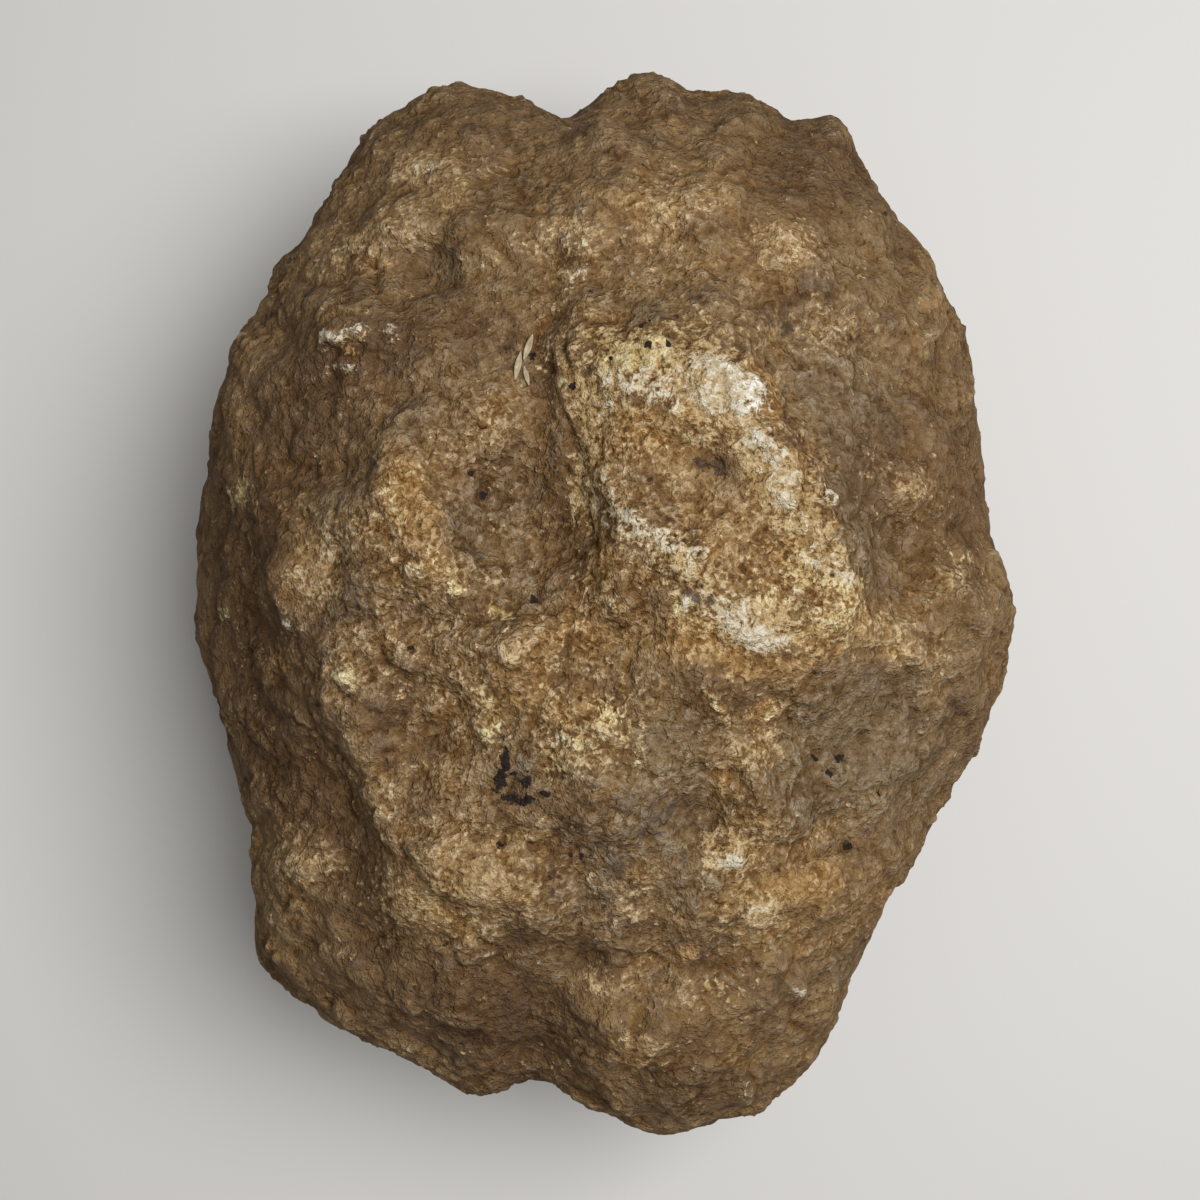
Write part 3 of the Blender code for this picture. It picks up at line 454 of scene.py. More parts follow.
class Skin:
    """One material and its nodes."""

    def __init__(self, name):
        self.material = bpy.data.materials.new(name)
        self.material.use_nodes = True
        self.tree = self.material.node_tree
        self.shader = self.tree.nodes["Principled BSDF"]

    def feed(self, socket, value):
        if isinstance(value, Number):
            self.tree.links.new(value.socket, socket)
        elif isinstance(value, bpy.types.NodeSocket):
            self.tree.links.new(value, socket)
        else:
            socket.default_value = value

    def node(self, kind, settings, sockets):
        """Any node: its settings are set first, and then its sockets get values or links."""
        made = self.tree.nodes.new(kind)
        for name, value in settings.items():
            setattr(made, name, value)
        for name, value in sockets.items():
            self.feed(made.inputs[name], value)
        return made

    def math(self, operation, first, second=0.0):
        made = self.node("ShaderNodeMath", {"operation": operation}, {0: first, 1: second})
        return Number(self, made.outputs[0])

    def place(self):
        """The place on the stone, in millimetres."""
        where = self.node("ShaderNodeTexCoord", {}, {}).outputs["Object"]
        return self.vector_math("SCALE", {0: where, "Scale": 1.0 / MM})

    def vector_math(self, operation, sockets, output=0):
        return self.node("ShaderNodeVectorMath", {"operation": operation}, sockets).outputs[output]

    def curled(self, place, size, reach):
        """The place, pushed about by a noise, which curls whatever pattern reads it."""
        sockets = {"Vector": place, "Scale": 1.0 / size, "Detail": 1.0}
        push = self.node("ShaderNodeTexNoise", {}, sockets)
        return self.vector_math("MULTIPLY_ADD", {0: push.outputs["Color"], 1: (reach,) * 3, 2: place})

    def noise(self, place, size, detail, roughness):
        """A noise about 0, mostly between -1 and 1, with forms of this size in millimetres."""
        sockets = {"Vector": place, "Scale": 1.0 / size, "Detail": detail, "Roughness": roughness}
        made = self.node("ShaderNodeTexNoise", {}, sockets)
        return Number(self, made.outputs[0]) * 4.0 - 2.0

    def grains(self, place, size):
        """Three chances, from 0 to 1, for each grain of this size."""
        made = self.node("ShaderNodeTexVoronoi", {}, {"Vector": place, "Scale": 1.0 / size})
        chances = self.node("ShaderNodeSeparateColor", {}, {0: made.outputs["Color"]}).outputs
        return [Number(self, socket) for socket in chances]

    def cell_edge(self, place, size):
        """The way to the nearest edge between grains."""
        settings = {"feature": "DISTANCE_TO_EDGE"}
        made = self.node("ShaderNodeTexVoronoi", settings, {"Vector": place, "Scale": 1.0 / size})
        return Number(self, made.outputs["Distance"])

    def terraces(self, value, levels):
        """Steps a noise: the stepped height, the dark foot of each step, which is painted shadow, and the
        lighter edge above it.
        """
        steps = levels * value
        part = self.math("FRACT", steps)
        ledge = self.math("FLOOR", steps) + self.step(part, 0.72, 1.0)
        foot = self.step(part, 0.5, 0.74) * self.step(part, 0.92, 0.8)
        return ledge, foot, self.step(part, 0.22, 0.0)

    def painted(self, name):
        """A mask that was painted on the piece's points."""
        made = self.node("ShaderNodeAttribute", {"attribute_name": name}, {})
        return Number(self, made.outputs["Fac"])

    def seen(self, place):
        """Where the eye sees a place of the skin, in millimetres at the rim's level."""
        away = self.vector_math("SUBTRACT", {0: place, 1: (*EYE, RIM_LEVEL + EYE_HEIGHT)})
        depth = Number(self, self.node("ShaderNodeSeparateXYZ", {}, {0: away}).outputs["Z"])
        return self.vector_math("SCALE", {0: away, "Scale": self.math("DIVIDE", -EYE_HEIGHT, depth)})

    def spots(self, seen, places):
        """Spots in the photograph: each is at its strength in its middle, and 0.5 less at its edge.

        Small ones are round, which is quicker to render.
        """
        nearest = 0.0
        for x, y, half_length, half_width, turn, strength in places:
            middle = (*in_view((x, y)), -EYE_HEIGHT)
            if half_length < ROUND_SPOT:
                operation, sockets = "DISTANCE", {0: seen, 1: middle}
                share = 0.5 / math.sqrt(half_length * half_width)
            else:
                sockets = {
                    "Vector": seen,
                    "Location": middle,
                    "Rotation": (0.0, 0.0, math.radians(turn)),
                    "Scale": (half_length, half_width, 1.0),
                }
                turned = self.node("ShaderNodeMapping", {"vector_type": "TEXTURE"}, sockets).outputs[0]
                operation, sockets = "LENGTH", {0: turned}
                share = 0.5
            away = Number(self, self.vector_math(operation, sockets, "Value"))
            nearest = self.math("MAXIMUM", strength - share * away, nearest)
        return nearest

    def step(self, value, low, high):
        settings = {"interpolation_type": "SMOOTHSTEP"}
        sockets = {"Value": value, "From Min": low, "From Max": high}
        return Number(self, self.node("ShaderNodeMapRange", settings, sockets).outputs["Result"])

    def mix(self, factor, first, second, way="MIX"):
        """A mix of two colours, which are a Mix node's inputs 6 and 7, and its output 2."""
        settings = {"data_type": "RGBA", "blend_type": way}
        made = self.node("ShaderNodeMix", settings, {0: factor, 6: first, 7: second})
        return made.outputs[2]

    def shade(self, light, powers=(1.0, 1.0, 1.0)):
        """A colour that is lighter or darker by powers of two, with a power for each of its parts."""
        parts = {at: 2.0 ** (power * light) for at, power in enumerate(powers)}
        return self.node("ShaderNodeCombineColor", {}, parts).outputs[0]

    def finish(self, colour, roughness, bumps, strength):
        """Feeds the shader, with bumps in millimetres, and gives the finished material."""
        sockets = {"Height": bumps, "Distance": MM, "Strength": strength}
        normal = self.node("ShaderNodeBump", {}, sockets).outputs[0]
        for name, value in {"Base Color": colour, "Roughness": roughness, "Normal": normal}.items():
            self.feed(self.shader.inputs[name], value)
        return self.material


def arithmetic(operation, reflected=False):
    def act(self, other):
        first, second = (other, self) if reflected else (self, other)
        return self.skin.math(operation, first, second)

    return act


class Number:
    """A number that changes over a surface. Arithmetic on it adds Math nodes."""

    __add__ = arithmetic("ADD")
    __radd__ = arithmetic("ADD", reflected=True)
    __sub__ = arithmetic("SUBTRACT")
    __rsub__ = arithmetic("SUBTRACT", reflected=True)
    __mul__ = arithmetic("MULTIPLY")
    __rmul__ = arithmetic("MULTIPLY", reflected=True)
    __rpow__ = arithmetic("POWER", reflected=True)

    def __init__(self, skin, socket):
        self.skin = skin
        self.socket = socket


def colour_property(name, description, colour):
    return bpy.props.FloatVectorProperty(
        name=name, description=description, subtype="COLOR", size=3, min=0.0, max=1.0, default=colour
    )


def length_property(name, description, length):
    return bpy.props.FloatProperty(
        name=name, description=description, subtype="DISTANCE", unit="LENGTH", min=0.0, default=length
    )


class StoneSettings(bpy.types.PropertyGroup):
    mesh_size: length_property("Mesh size", "Spacing of the points off the face", 1.3 * MM)
    relief: bpy.props.FloatProperty(name="Relief", description="Strength of the knobs and grain", default=1)
    crust: length_property("Crust", "How far the white crust stands over the skin", 0.35 * MM)
    brown: colour_property("Brown", "The plain skin", (0.145, 0.084, 0.036))
    tan: colour_property("Tan", "Lighter parts of the plain skin", (0.233, 0.149, 0.069))
    # Dark brown, which the face's patches lay on mostly as painted shade
    umber_and_shade: colour_property("Umber", "Hollows and the left flank", (0.097, 0.051, 0.021))
    golden: colour_property("Golden", "Warm parts of the plain skin", (0.257, 0.153, 0.060))
    purple: colour_property("Purple-brown", "Cool parts of the plain skin", (0.097, 0.059, 0.033))
    ochre: colour_property("Ochre", "Iron stains", (0.281, 0.160, 0.057))
    grey: colour_property("Grey", "Olive-grey skin", (0.178, 0.125, 0.068))
    # Partly painted light on lumps and on the crest's left wall
    pale_and_light: colour_property("Pale tan", "Worn knobs and ledges", (0.310, 0.200, 0.092))
    # Also partly painted light on the crest's left wall
    cream: colour_property("Cream crust", "The crest's mineral, thin", (0.402, 0.279, 0.132))
    white: colour_property("White crust", "The crest's mineral, thick", (0.452, 0.374, 0.250))
    # Partly a painted highlight on the white crust
    bright: colour_property("Bright crust", "The white crust's brightest lump", (0.605, 0.542, 0.430))
    yellow: colour_property("Yellow crust", "Yellow mineral beside the white", (0.500, 0.388, 0.189))
    # Also painted shade in the groove near the bottom
    stain_and_shade: colour_property("Dark stain", "Dark brown stains", (0.060, 0.036, 0.022))
    # Also painted shade in the wider pits
    black: colour_property("Black", "Black mineral and the pits", (0.020, 0.013, 0.009))


class HuskSettings(bpy.types.PropertyGroup):
    thickness: length_property("Thickness", "Thickness of a blade", 0.16 * MM)
    straw: colour_property("Straw", "Colour of the dry blades", (0.330, 0.262, 0.160))


class StageSettings(bpy.types.PropertyGroup):
    floor: colour_property("Floor", "Colour of the plain floor", (0.620, 0.610, 0.590))
    floor_size: length_property("Floor size", "Side of the floor", 8.0)
    lens: bpy.props.FloatProperty(name="Lens", description="Focal length in mm", min=10, default=50)
    key: bpy.props.FloatProperty(name="Key light", description="Power in watts", unit="POWER", default=2.3)
    sky: bpy.props.FloatProperty(name="Sky", description="Strength of the light all round", default=0.28)


def set_mode(mode):
    bpy.ops.object.mode_set(mode=mode)


def deselect_all():
    if bpy.context.object and bpy.context.object.mode != "OBJECT":
        set_mode("OBJECT")
    bpy.ops.object.select_all(action="DESELECT")


def make_active(piece):
    deselect_all()
    piece.select_set(True)
    bpy.context.view_layer.objects.active = piece


def apply_modifier(piece, kind, **settings):
    make_active(piece)
    added = piece.modifiers.new(kind.lower(), kind)
    for name, value in settings.items():
        setattr(added, name, value)
    bpy.ops.object.modifier_apply(modifier=added.name)


def points_of(mesh):
    points = np.empty(len(mesh.vertices) * 3, np.float32)
    mesh.vertices.foreach_get("co", points)
    return points.reshape(-1, 3).astype(float) / MM


def normals_of(mesh):
    normals = np.empty(len(mesh.vertices) * 3, np.float32)
    mesh.vertex_normals.foreach_get("vector", normals)
    return normals.reshape(-1, 3).astype(float)


def set_points(mesh, points):
    mesh.vertices.foreach_set("co", (points * MM).astype(np.float32).ravel())
    mesh.update()


def view_of(points):
    """Where the eye sees each point, in millimetres at the rim's level, from the photograph's middle."""
    nearer = EYE_HEIGHT / (EYE_HEIGHT + RIM_LEVEL - points[:, 2])
    return (points[:, :2] - np.array(EYE)) * nearer[:, None]


def face_share(points, normals):
    """1 on the face that the photograph shows, 0 on the sides and the back."""
    return smoothstep(*FACE_SLOPES, normals[:, 2]) * smoothstep(*FACE_LEVELS, points[:, 2])


def sampled(function, places):
    return np.array([function(Vector(place)) for place in places])


def pushes(points, size, octaves):
    """A noise in three directions for each point. Unlike noise_vector, it is the same in every run."""
    shifts = [Vector(shift) for shift in ((0.0, 0.0, 0.0), (31.4, 17.2, 5.6), (-12.7, 42.1, 23.9))]
    places = [Vector(point) / size for point in points]
    return np.array([[noise.fractal(at + shift, 1.0, 2.0, octaves) for shift in shifts] for at in places])


def plates_of(cells, border):
    """The flat tops of the cells, about 0, which fall off within this share of a cell from its border."""
    return np.minimum(cells[:, 1] - cells[:, 0], border) / border - 0.6


def natural_relief(points, face):
    """The height of the knobs, crumbs and grain, the grain alone, and how near a point is to a crease,
    which sets the painted shade there.
    """
    pushed = points + PUSH_REACH * pushes(points, PUSH_SIZE, 4)
    knobs = sampled(lambda at: noise.voronoi(at / KNOB_SIZE)[0][:2], pushed)
    crumbs = sampled(lambda at: noise.voronoi(at / CRUMB_SIZE)[0][:2], pushed)
    lumps = sampled(lambda at: noise.fractal(at / LUMP_SIZE, 1.0, 2.1, 4), points)
    grain = sampled(lambda at: noise.fractal(at / GRAIN_SIZE, 0.6, 2.0, 2), points)
    plates = plates_of(knobs, 0.3)
    rough = smoothstep(-0.5, 0.7, lumps) + 0.3
    crumbling = CRUMB_HEIGHT * (0.5 - crumbs[:, 0]) + SMALL_PLATE_HEIGHT * plates_of(crumbs, 0.35)
    rise = KNOB_HEIGHT * (0.5 - knobs[:, 0]) + PLATE_HEIGHT * plates + rough * crumbling
    rise *= BACK_RELIEF + (1.0 - BACK_RELIEF) * face
    rise = rise + LUMP_HEIGHT * lumps + GRAIN_HEIGHT * grain * face
    return rise, grain, np.clip(0.4 - plates, 0.0, 1.0) ** 2 * rough


def warped(view, points, size, reach):
    """The view's places, pushed about, so that the patches have natural edges."""
    return view + reach * pushes(points, size, 3)[:, :2]


def add_mask(mesh, name, values):
    mask = mesh.attributes.new(name, "FLOAT", "POINT")
    mask.data.foreach_set("value", values.astype(np.float32))


def refine_face(stone):
    """Cuts each quad of the face in four, so that the fine forms there have points to be made of."""
    make_active(stone)
    set_mode("EDIT")
    bpy.ops.mesh.select_all(action="DESELECT")
    set_mode("OBJECT")
    for face in stone.data.polygons:
        face.select = face.normal.z > FINE_SLOPE and face.center.z > FINE_LEVEL * MM
    set_mode("EDIT")
    bpy.ops.mesh.subdivide(number_cuts=1)
    bpy.ops.mesh.select_all(action="SELECT")
    bpy.ops.mesh.quads_convert_to_tris()
    set_mode("OBJECT")


def stone_copy():
    """The solid's own surface, welded."""
    stone = bpy.data.objects.new("geode_stone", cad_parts["geode"].data.copy())
    bpy.context.scene.collection.objects.link(stone)
    stone.data.materials.clear()
    make_active(stone)
    set_mode("EDIT")
    bpy.ops.mesh.select_all(action="SELECT")
    bpy.ops.mesh.remove_doubles(threshold=WELD_REACH * MM)
    set_mode("OBJECT")
    return stone


def carve(stone, settings):
    """Moves the points of the skin, and paints where the minerals and stains lie, and where shade and light
    are painted.
    """
    mesh = stone.data
    points = points_of(mesh)
    normals = normals_of(mesh)
    view = view_of(points)
    face = face_share(points, normals)
    off_base = smoothstep(BASE_HEIGHT, BASE_FADE, points[:, 2])
    ragged = warped(view, points, *RAGGED)

    crust = patches(ragged, WHITE_CRUST) * face
    rise, grain, crease_shade = natural_relief(points, face)
    rise *= settings.relief
    rise += settings.crust / MM * smoothstep(*CRUST_EDGES, crust + 0.4 * grain)
    slightly = warped(view, points, *SLIGHT)
    for form in NODULES:
        rise += patch(slightly, *form, flatness=FLAT_TOP) * face
    for width, depth, line in CRACKS:
        gap, share = line_distance(slightly, line)
        tapered = np.sin(math.pi * np.clip(share, 0.06, 0.94)) ** 0.5
        rise -= depth * tapered * np.exp(-((gap / width) ** 2)) * face
    for x, y, half_length, half_width, turn in PITS:
        length, width = half_length * PIT_SPREAD[0], half_width * PIT_SPREAD[1]
        rise -= patch(slightly, x, y, length, width, turn, PIT_DEPTH) * face
    moved = points + normals * (rise * off_base)[:, None]
    low, high = (np.array(corner) / MM for corner in CAD_BOX)
    moved[points[:, 2] < BASE_HEIGHT, 2] = 0.0
    set_points(mesh, np.clip(moved, low, high))

    add_mask(mesh, "face", face)
    # Masks for painted shade: in each crease and on the steep sides
    add_mask(mesh, "crease_shade", crease_shade)
    add_mask(mesh, "steep_shade", smoothstep(*STEEP_SLOPES, normals[:, 2]))
    add_mask(mesh, "middle", patch(view, *MIDDLE) * face)
    add_mask(mesh, "warmth", (patches(ragged, WARM) - patches(ragged, COOL)) * face)
    for name, places in PATCHES.items():
        add_mask(mesh, name, patches(ragged, places) * face)


def paint_hollow_shade(stone, name, rounds):
    """Marks how far each point lies above its surroundings, for painted light on knobs and painted shade in
    hollows.
    """
    before = points_of(stone.data)
    smooth = stone.copy()
    smooth.data = stone.data.copy()
    bpy.context.scene.collection.objects.link(smooth)
    apply_modifier(smooth, "SMOOTH", iterations=rounds)
    after = points_of(smooth.data)
    normals = normals_of(smooth.data)
    bpy.data.objects.remove(smooth)
    add_mask(stone.data, name, np.einsum("ij,ij->i", before - after, normals))


def stone_material(settings):
    skin = Skin("weathered_stone")
    place = skin.place()
    curled = skin.curled(place, *CURL)
    swell = skin.noise(place, SWELL_SIZE, 2.0, 0.5)
    broad = skin.noise(curled, BROAD_SIZE, 4.0, 0.62)
    mottle = skin.noise(curled, MOTTLE_SIZE, 4.0, 0.68)
    flake = skin.noise(curled, FLAKE_SIZE, 3.0, 0.65)
    fine = skin.noise(place, FINE_SIZE, 3.0, 0.7)
    bent = skin.curled(place, *SMALL_CURL)
    chance, second_chance, third_chance = skin.grains(bent, CHIP_SIZE)
    chips = chance - 0.5
    flat, hue, worn = skin.grains(bent, PLATE_SIZE)
    crackle = skin.step(skin.cell_edge(bent, PLATE_SIZE), 0.07, 0.0)
    crackle = crackle * skin.step(flake + mottle, -0.4, 0.5)
    face = skin.painted("face")
    back = 1.0 - face
    middle = skin.painted("middle")
    warmth = skin.painted("warmth")
    plain = skin.painted("plain")
    height = skin.painted("height")
    fine_height = skin.painted("fine_height")
    ragged = 0.35 * fine + 0.25 * flake + 0.45 * chips
    broken = 0.24 * mottle + 0.28 * flake + 0.32 * fine + 0.3 * chips

    def mask(name, softness, elsewhere=None):
        """Whether a painted mineral covers a grain. Off the face a noise stands in for the mask."""
        amount = skin.painted(name)
        if elsewhere is None:
            near = skin.step(amount, 0.02, 0.22)
        else:
            amount = amount + elsewhere * back
            near = 1.0
        return skin.step(amount + broken, 0.5 - softness, 0.5 + softness) * near

    def rgb(colour):
        return (*colour, 1.0)

    # Thin flakes that overlap: their edges are terraces of a curled noise, with painted shadow at the foot
    # of each step
    layers = 0.7 * skin.noise(curled, TERRACE_SIZE, 2.0, 0.6) + 0.15 * flake
    ledge, foot_shadow, bright_edge = skin.terraces(layers, 2.2)

    tone = 0.6 * mottle + 0.3 * broad + 0.2 * swell + 0.5 * (flat - 0.5)
    colour = skin.mix(skin.step(tone, -0.8, 0.8), rgb(settings.brown), rgb(settings.tan))
    warm = skin.noise(curled, WARM_SIZE, 4.0, 0.65) + 0.9 * warmth + 0.8 * (hue - 0.5)
    colour = skin.mix(skin.step(warm, 0.1, 0.9) * 0.8, colour, rgb(settings.golden))
    colour = skin.mix(skin.step(warm, -0.2, -0.9) * 0.75, colour, rgb(settings.purple))
    grey = mask("grey", 0.4, skin.step(broad, 0.1, 0.9) * 0.6)
    colour = skin.mix(grey * 0.8, colour, rgb(settings.grey))
    # Dark brown: random on the back, and on the face mostly painted shade on the flank, the rim, the bowl
    # and the grooves
    umber_and_shade = mask("umber_and_shade", 0.4, skin.step(swell, 0.0, 0.7) * 0.6)
    colour = skin.mix(umber_and_shade * 0.85, colour, rgb(settings.umber_and_shade))
    ochre = mask("ochre", 0.3, skin.step(broad, -0.1, -0.9) * 0.6)
    colour = skin.mix(ochre * 0.85, colour, rgb(settings.ochre))
    # Pale tan: random on the back, and on the face partly painted light on lumps and on the crest's left
    # wall
    pale_and_light = mask("pale_tan_and_light", 0.35, skin.step(swell, -0.1, -0.8) * 0.6)
    colour = skin.mix(pale_and_light * 0.9, colour, rgb(settings.pale_and_light))
    flecks = skin.step(broken + 0.3 * pale_and_light + 0.12 * warmth - 0.3 * plain, 0.46, 0.62)
    colour = skin.mix(flecks * 0.7, colour, rgb(settings.cream))
    # Thin cream crust, partly painted light on the crest's left wall
    creamy = mask("cream_crust_and_light", 0.16)
    colour = skin.mix(creamy * 0.9, colour, rgb(settings.cream))
    colour = skin.mix(mask("yellow_crust", 0.28) * 0.85, colour, rgb(settings.yellow))
    white = mask("white_crust", 0.15)
    colour = skin.mix(white, colour, rgb(settings.white))
    # The white crust's brightest lump, partly a painted highlight
    colour = skin.mix(mask("bright_crust_and_highlight", 0.2), colour, rgb(settings.bright))
    seen = skin.seen(bent)
    # Dark stains, and painted shade in the groove near the bottom
    stain_and_shade = 0.75 * skin.painted("dark_stain_and_shade")
    stain_and_shade = skin.step(stain_and_shade + 1.2 * ragged + 0.2 * mottle, 0.48, 0.66) * skin.step(stain_and_shade, 0.06, 0.3) * 0.8
    spot = skin.spots(seen, STAIN_SPOTS)
    spot = skin.step(spot + 0.9 * ragged, 0.42, 0.62) * skin.step(spot, 0.1, 0.3) * face
    colour = skin.mix(skin.math("MAXIMUM", stain_and_shade, spot * 0.9), colour, rgb(settings.stain_and_shade))

    # Light and dark grains, strongest in the middle of the face, and painted shade and light by height:
    # painted shade in hollows, in each crease, on steep sides and at the foot of each flake's step, and
    # painted light on what stands out
    crisp = (0.3 + 1.15 * middle) * (1.0 + 0.45 * broad) * (1.0 - 0.5 * plain)
    light = 0.45 * flake + 0.7 * fine + 0.4 * (second_chance - 0.5) + 0.8 * chips
    light = light + 0.5 * (worn - 0.5) - 0.8 * crackle
    # Painted light on what stands out and painted shade in hollows, from the heights
    light = crisp * light + 0.2 * mottle + 0.5 * height + 1.2 * fine_height
    # Painted shade in each crease and on the steep sides
    light = light - 0.6 * skin.step(skin.painted("crease_shade") + 0.3 * flake, 0.2, 1.0)
    light = light - 0.35 * skin.painted("steep_shade") * (1.0 - middle)
    # Painted shadow at the foot of each flake's step
    light = light - 0.7 * foot_shadow * skin.step(broad + flake, 0.0, 0.8) + 0.25 * bright_edge + 0.04
    light = skin.math("MINIMUM", light, LIGHT_LIMIT) * (1.0 - 0.4 * skin.math("MAXIMUM", white, creamy))
    colour = skin.mix(1.0, colour, skin.shade(light, WARM_POWERS), "MULTIPLY")

    # Black mineral, dark specks, and painted shade in the wider pits
    speck = skin.step(third_chance - 0.3 * flake - 0.2 * mottle, 1.10, 1.18)
    wide_pits = [(*pit, 1.0) for pit in PITS if pit[2] > WIDE_PIT]
    black = skin.spots(seen, BLACK_SPOTS + wide_pits)
    black = skin.step(black + 0.7 * ragged, 0.48, 0.58) * skin.step(black, 0.1, 0.25) * face
    colour = skin.mix(skin.math("MAXIMUM", black, speck * 0.7), colour, rgb(settings.black))

    skin.shader.inputs["Specular IOR Level"].default_value = SPECULAR
    bumps = 0.16 * mottle + 0.17 * flake + 0.17 * fine + 0.14 * ledge
    return skin.finish(colour, 0.88 + 0.05 * flake - 0.06 * white, bumps, 1.0)


def husk_material(settings):
    skin = Skin("dry_husk")
    streak = skin.noise(skin.curled(skin.place(), *HUSK_CURL), STREAK_SIZE, 3.0, 0.6)
    colour = skin.mix(1.0, (*settings.straw, 1.0), skin.shade(0.5 * streak), "MULTIPLY")
    return skin.finish(colour, 0.7 + 0.08 * streak, 0.05 * streak, 0.8)


def floor_material(settings):
    skin = Skin("plain_floor")
    skin.shader.inputs["Base Color"].default_value = (*settings.floor, 1.0)
    skin.shader.inputs["Roughness"].default_value = 0.9
    return skin.material


class GEODE_OT_stone(bpy.types.Operator):
    """Make the stone, with its crusts, stains and pits"""

    bl_idname = "geode.stone"
    bl_label = "Stone"

    def execute(self, context):
        settings = context.scene.geode_stone
        stone = stone_copy()
        apply_modifier(stone, "REMESH", mode="VOXEL", voxel_size=settings.mesh_size)
        apply_modifier(stone, "SMOOTH", iterations=EVENING_ROUNDS)
        refine_face(stone)
        apply_modifier(stone, "SMOOTH", iterations=FINE_ROUNDS)
        carve(stone, settings)
        # Heights for painted shade in hollows and painted light on what stands out
        paint_hollow_shade(stone, "fine_height", NEAR_ROUNDS)
        paint_hollow_shade(stone, "height", WIDE_ROUNDS)
        stone.data.shade_smooth()
        stone.data.materials.append(stone_material(settings))
        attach(stone, "root")
        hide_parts("geode")
        return {"FINISHED"}


def seen_on(stone, place):
    """Where the eye sees this place of the photograph on the finished stone, in millimetres."""
    eye = Vector((*EYE, RIM_LEVEL + EYE_HEIGHT)) * MM
    right, up = in_view(place)
    at_rim = Vector((EYE[0] + right, EYE[1] + up, RIM_LEVEL)) * MM
    hit, where, _, _ = stone.ray_cast(eye, (at_rim - eye).normalized())
    if not hit:
        raise RuntimeError(f"Nothing to lie on at {place}")
    return np.array(where) / MM


def lay_blade(stone, points, foot, tip, width, lift):
    """Bends a flat square of points into a pointed, cupped blade that lies along the stone."""
    start, end = seen_on(stone, foot), seen_on(stone, tip)
    along, across = points[:, 1] + 0.5, points[:, 0] * 2.0
    side = np.cross(end - start, (0.0, 0.0, 1.0))
    side /= np.linalg.norm(side)
    half_width = width / 2.0 * np.sin(math.pi * np.clip(along, 0.04, 0.96)) ** 0.8
    laid = start + along[:, None] * (end - start) + (across * half_width)[:, None] * side
    bulge = 0.0
    for share in (0.25, 0.5, 0.75):
        between = seen_on(stone, np.array(foot) + share * (np.array(tip) - np.array(foot)))
        bulge = max(bulge, between[2] - (start + share * (end - start))[2])
    laid[:, 2] += bulge + BLADE_CLEARANCE + lift * along**2 + BLADE_CUP * half_width * across**2
    return laid


class GEODE_OT_husk(bpy.types.Operator):
    """Lay the scrap of dry husk in the bowl beside the crest"""

    bl_idname = "geode.husk"
    bl_label = "Dry husk"

    def execute(self, context):
        settings = context.scene.geode_husk
        stone = bpy.data.objects["geode_stone"]
        deselect_all()
        bpy.ops.mesh.primitive_grid_add(**BLADE_GRID)
        husk = context.object
        husk.name = "dry_husk"
        set_mode("EDIT")
        for _ in BLADES[1:]:
            bpy.ops.mesh.primitive_grid_add(**BLADE_GRID)
        set_mode("OBJECT")
        points = np.split(points_of(husk.data), len(BLADES))
        laid = [lay_blade(stone, part, *blade) for part, blade in zip(points, BLADES)]
        set_points(husk.data, np.concatenate(laid))
        apply_modifier(husk, "SOLIDIFY", thickness=settings.thickness, offset=0.0)
        husk.data.shade_smooth()
        husk.data.materials.append(husk_material(settings))
        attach(husk, "root")
        return {"FINISHED"}


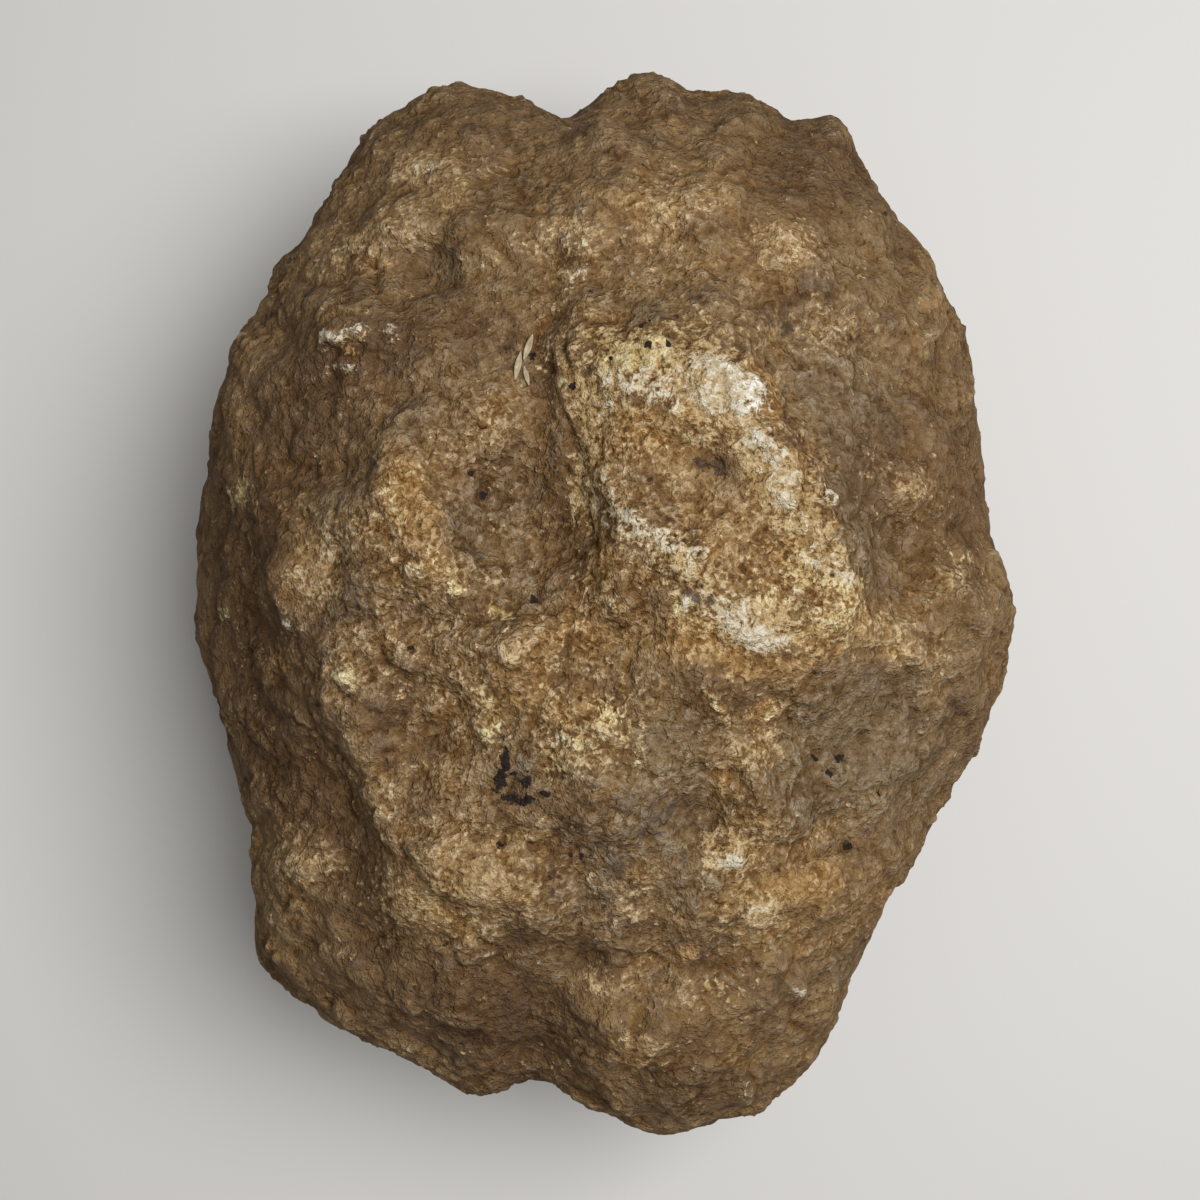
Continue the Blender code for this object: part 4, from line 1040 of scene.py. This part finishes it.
class GEODE_OT_stage(bpy.types.Operator):
    """Make the floor, the lights and the camera"""

    bl_idname = "geode.stage"
    bl_label = "Stage"

    def execute(self, context):
        settings = context.scene.geode_stage
        deselect_all()
        bpy.ops.mesh.primitive_plane_add(size=settings.floor_size)
        floor = context.object
        floor.name = "floor"
        floor.data.materials.append(floor_material(settings))
        add_lamp("key_light", KEY_PLACE, KEY_SIZE, settings.key)
        world = bpy.data.worlds.new("studio")
        world.use_nodes = True
        sky = world.node_tree.nodes["Background"].inputs
        sky["Color"].default_value = SKY_COLOUR
        sky["Strength"].default_value = settings.sky
        context.scene.world = world
        context.scene.view_settings.view_transform = "Standard"
        add_camera(settings)
        return {"FINISHED"}


def add_lamp(name, place, size, power):
    deselect_all()
    bpy.ops.object.light_add(type="AREA", location=place)
    lamp = bpy.context.object
    lamp.name = name
    lamp.data.size = size
    lamp.data.energy = power
    toward = Vector((0.0, 0.0, RIM_LEVEL * MM)) - Vector(place)
    lamp.rotation_euler = toward.to_track_quat("-Z", "Y").to_euler()


def add_camera(settings):
    """The camera looks straight down on the stone's face."""
    deselect_all()
    eye = Vector((*EYE, RIM_LEVEL + EYE_HEIGHT)) * MM
    bpy.ops.object.camera_add(location=eye, rotation=(0.0, 0.0, 0.0))
    camera = bpy.context.object
    camera.data.lens = settings.lens
    camera.data.clip_start = NEAR_CLIP
    bpy.context.scene.camera = camera


class GEODE_PT_parts(bpy.types.Panel):
    """The pieces of the geode"""

    bl_label = "Geode"
    bl_space_type = "VIEW_3D"
    bl_region_type = "UI"
    bl_category = "Geode"

    def draw(self, context):
        for operator, group in PIECES:
            box = self.layout.box()
            box.operator(operator.bl_idname)
            settings = getattr(context.scene, group)
            for name in settings.__annotations__:
                box.prop(settings, name)


PIECES = [
    (GEODE_OT_stone, "geode_stone"),
    (GEODE_OT_husk, "geode_husk"),
    (GEODE_OT_stage, "geode_stage"),
]
SETTINGS = {"geode_stone": StoneSettings, "geode_husk": HuskSettings, "geode_stage": StageSettings}


def register():
    for name, group in SETTINGS.items():
        bpy.utils.register_class(group)
        setattr(bpy.types.Scene, name, bpy.props.PointerProperty(type=group))
    for operator, _ in PIECES:
        bpy.utils.register_class(operator)
    bpy.utils.register_class(GEODE_PT_parts)


def unregister():
    bpy.utils.unregister_class(GEODE_PT_parts)
    for operator, _ in PIECES:
        bpy.utils.unregister_class(operator)
    for name, group in SETTINGS.items():
        delattr(bpy.types.Scene, name)
        bpy.utils.unregister_class(group)


def plain(box):
    return [[float(number) for number in corner] for corner in box]


def main():
    register()
    bpy.ops.geode.stone()
    bpy.ops.geode.husk()
    bpy.ops.geode.stage()


if __name__ == "__main__":
    main()
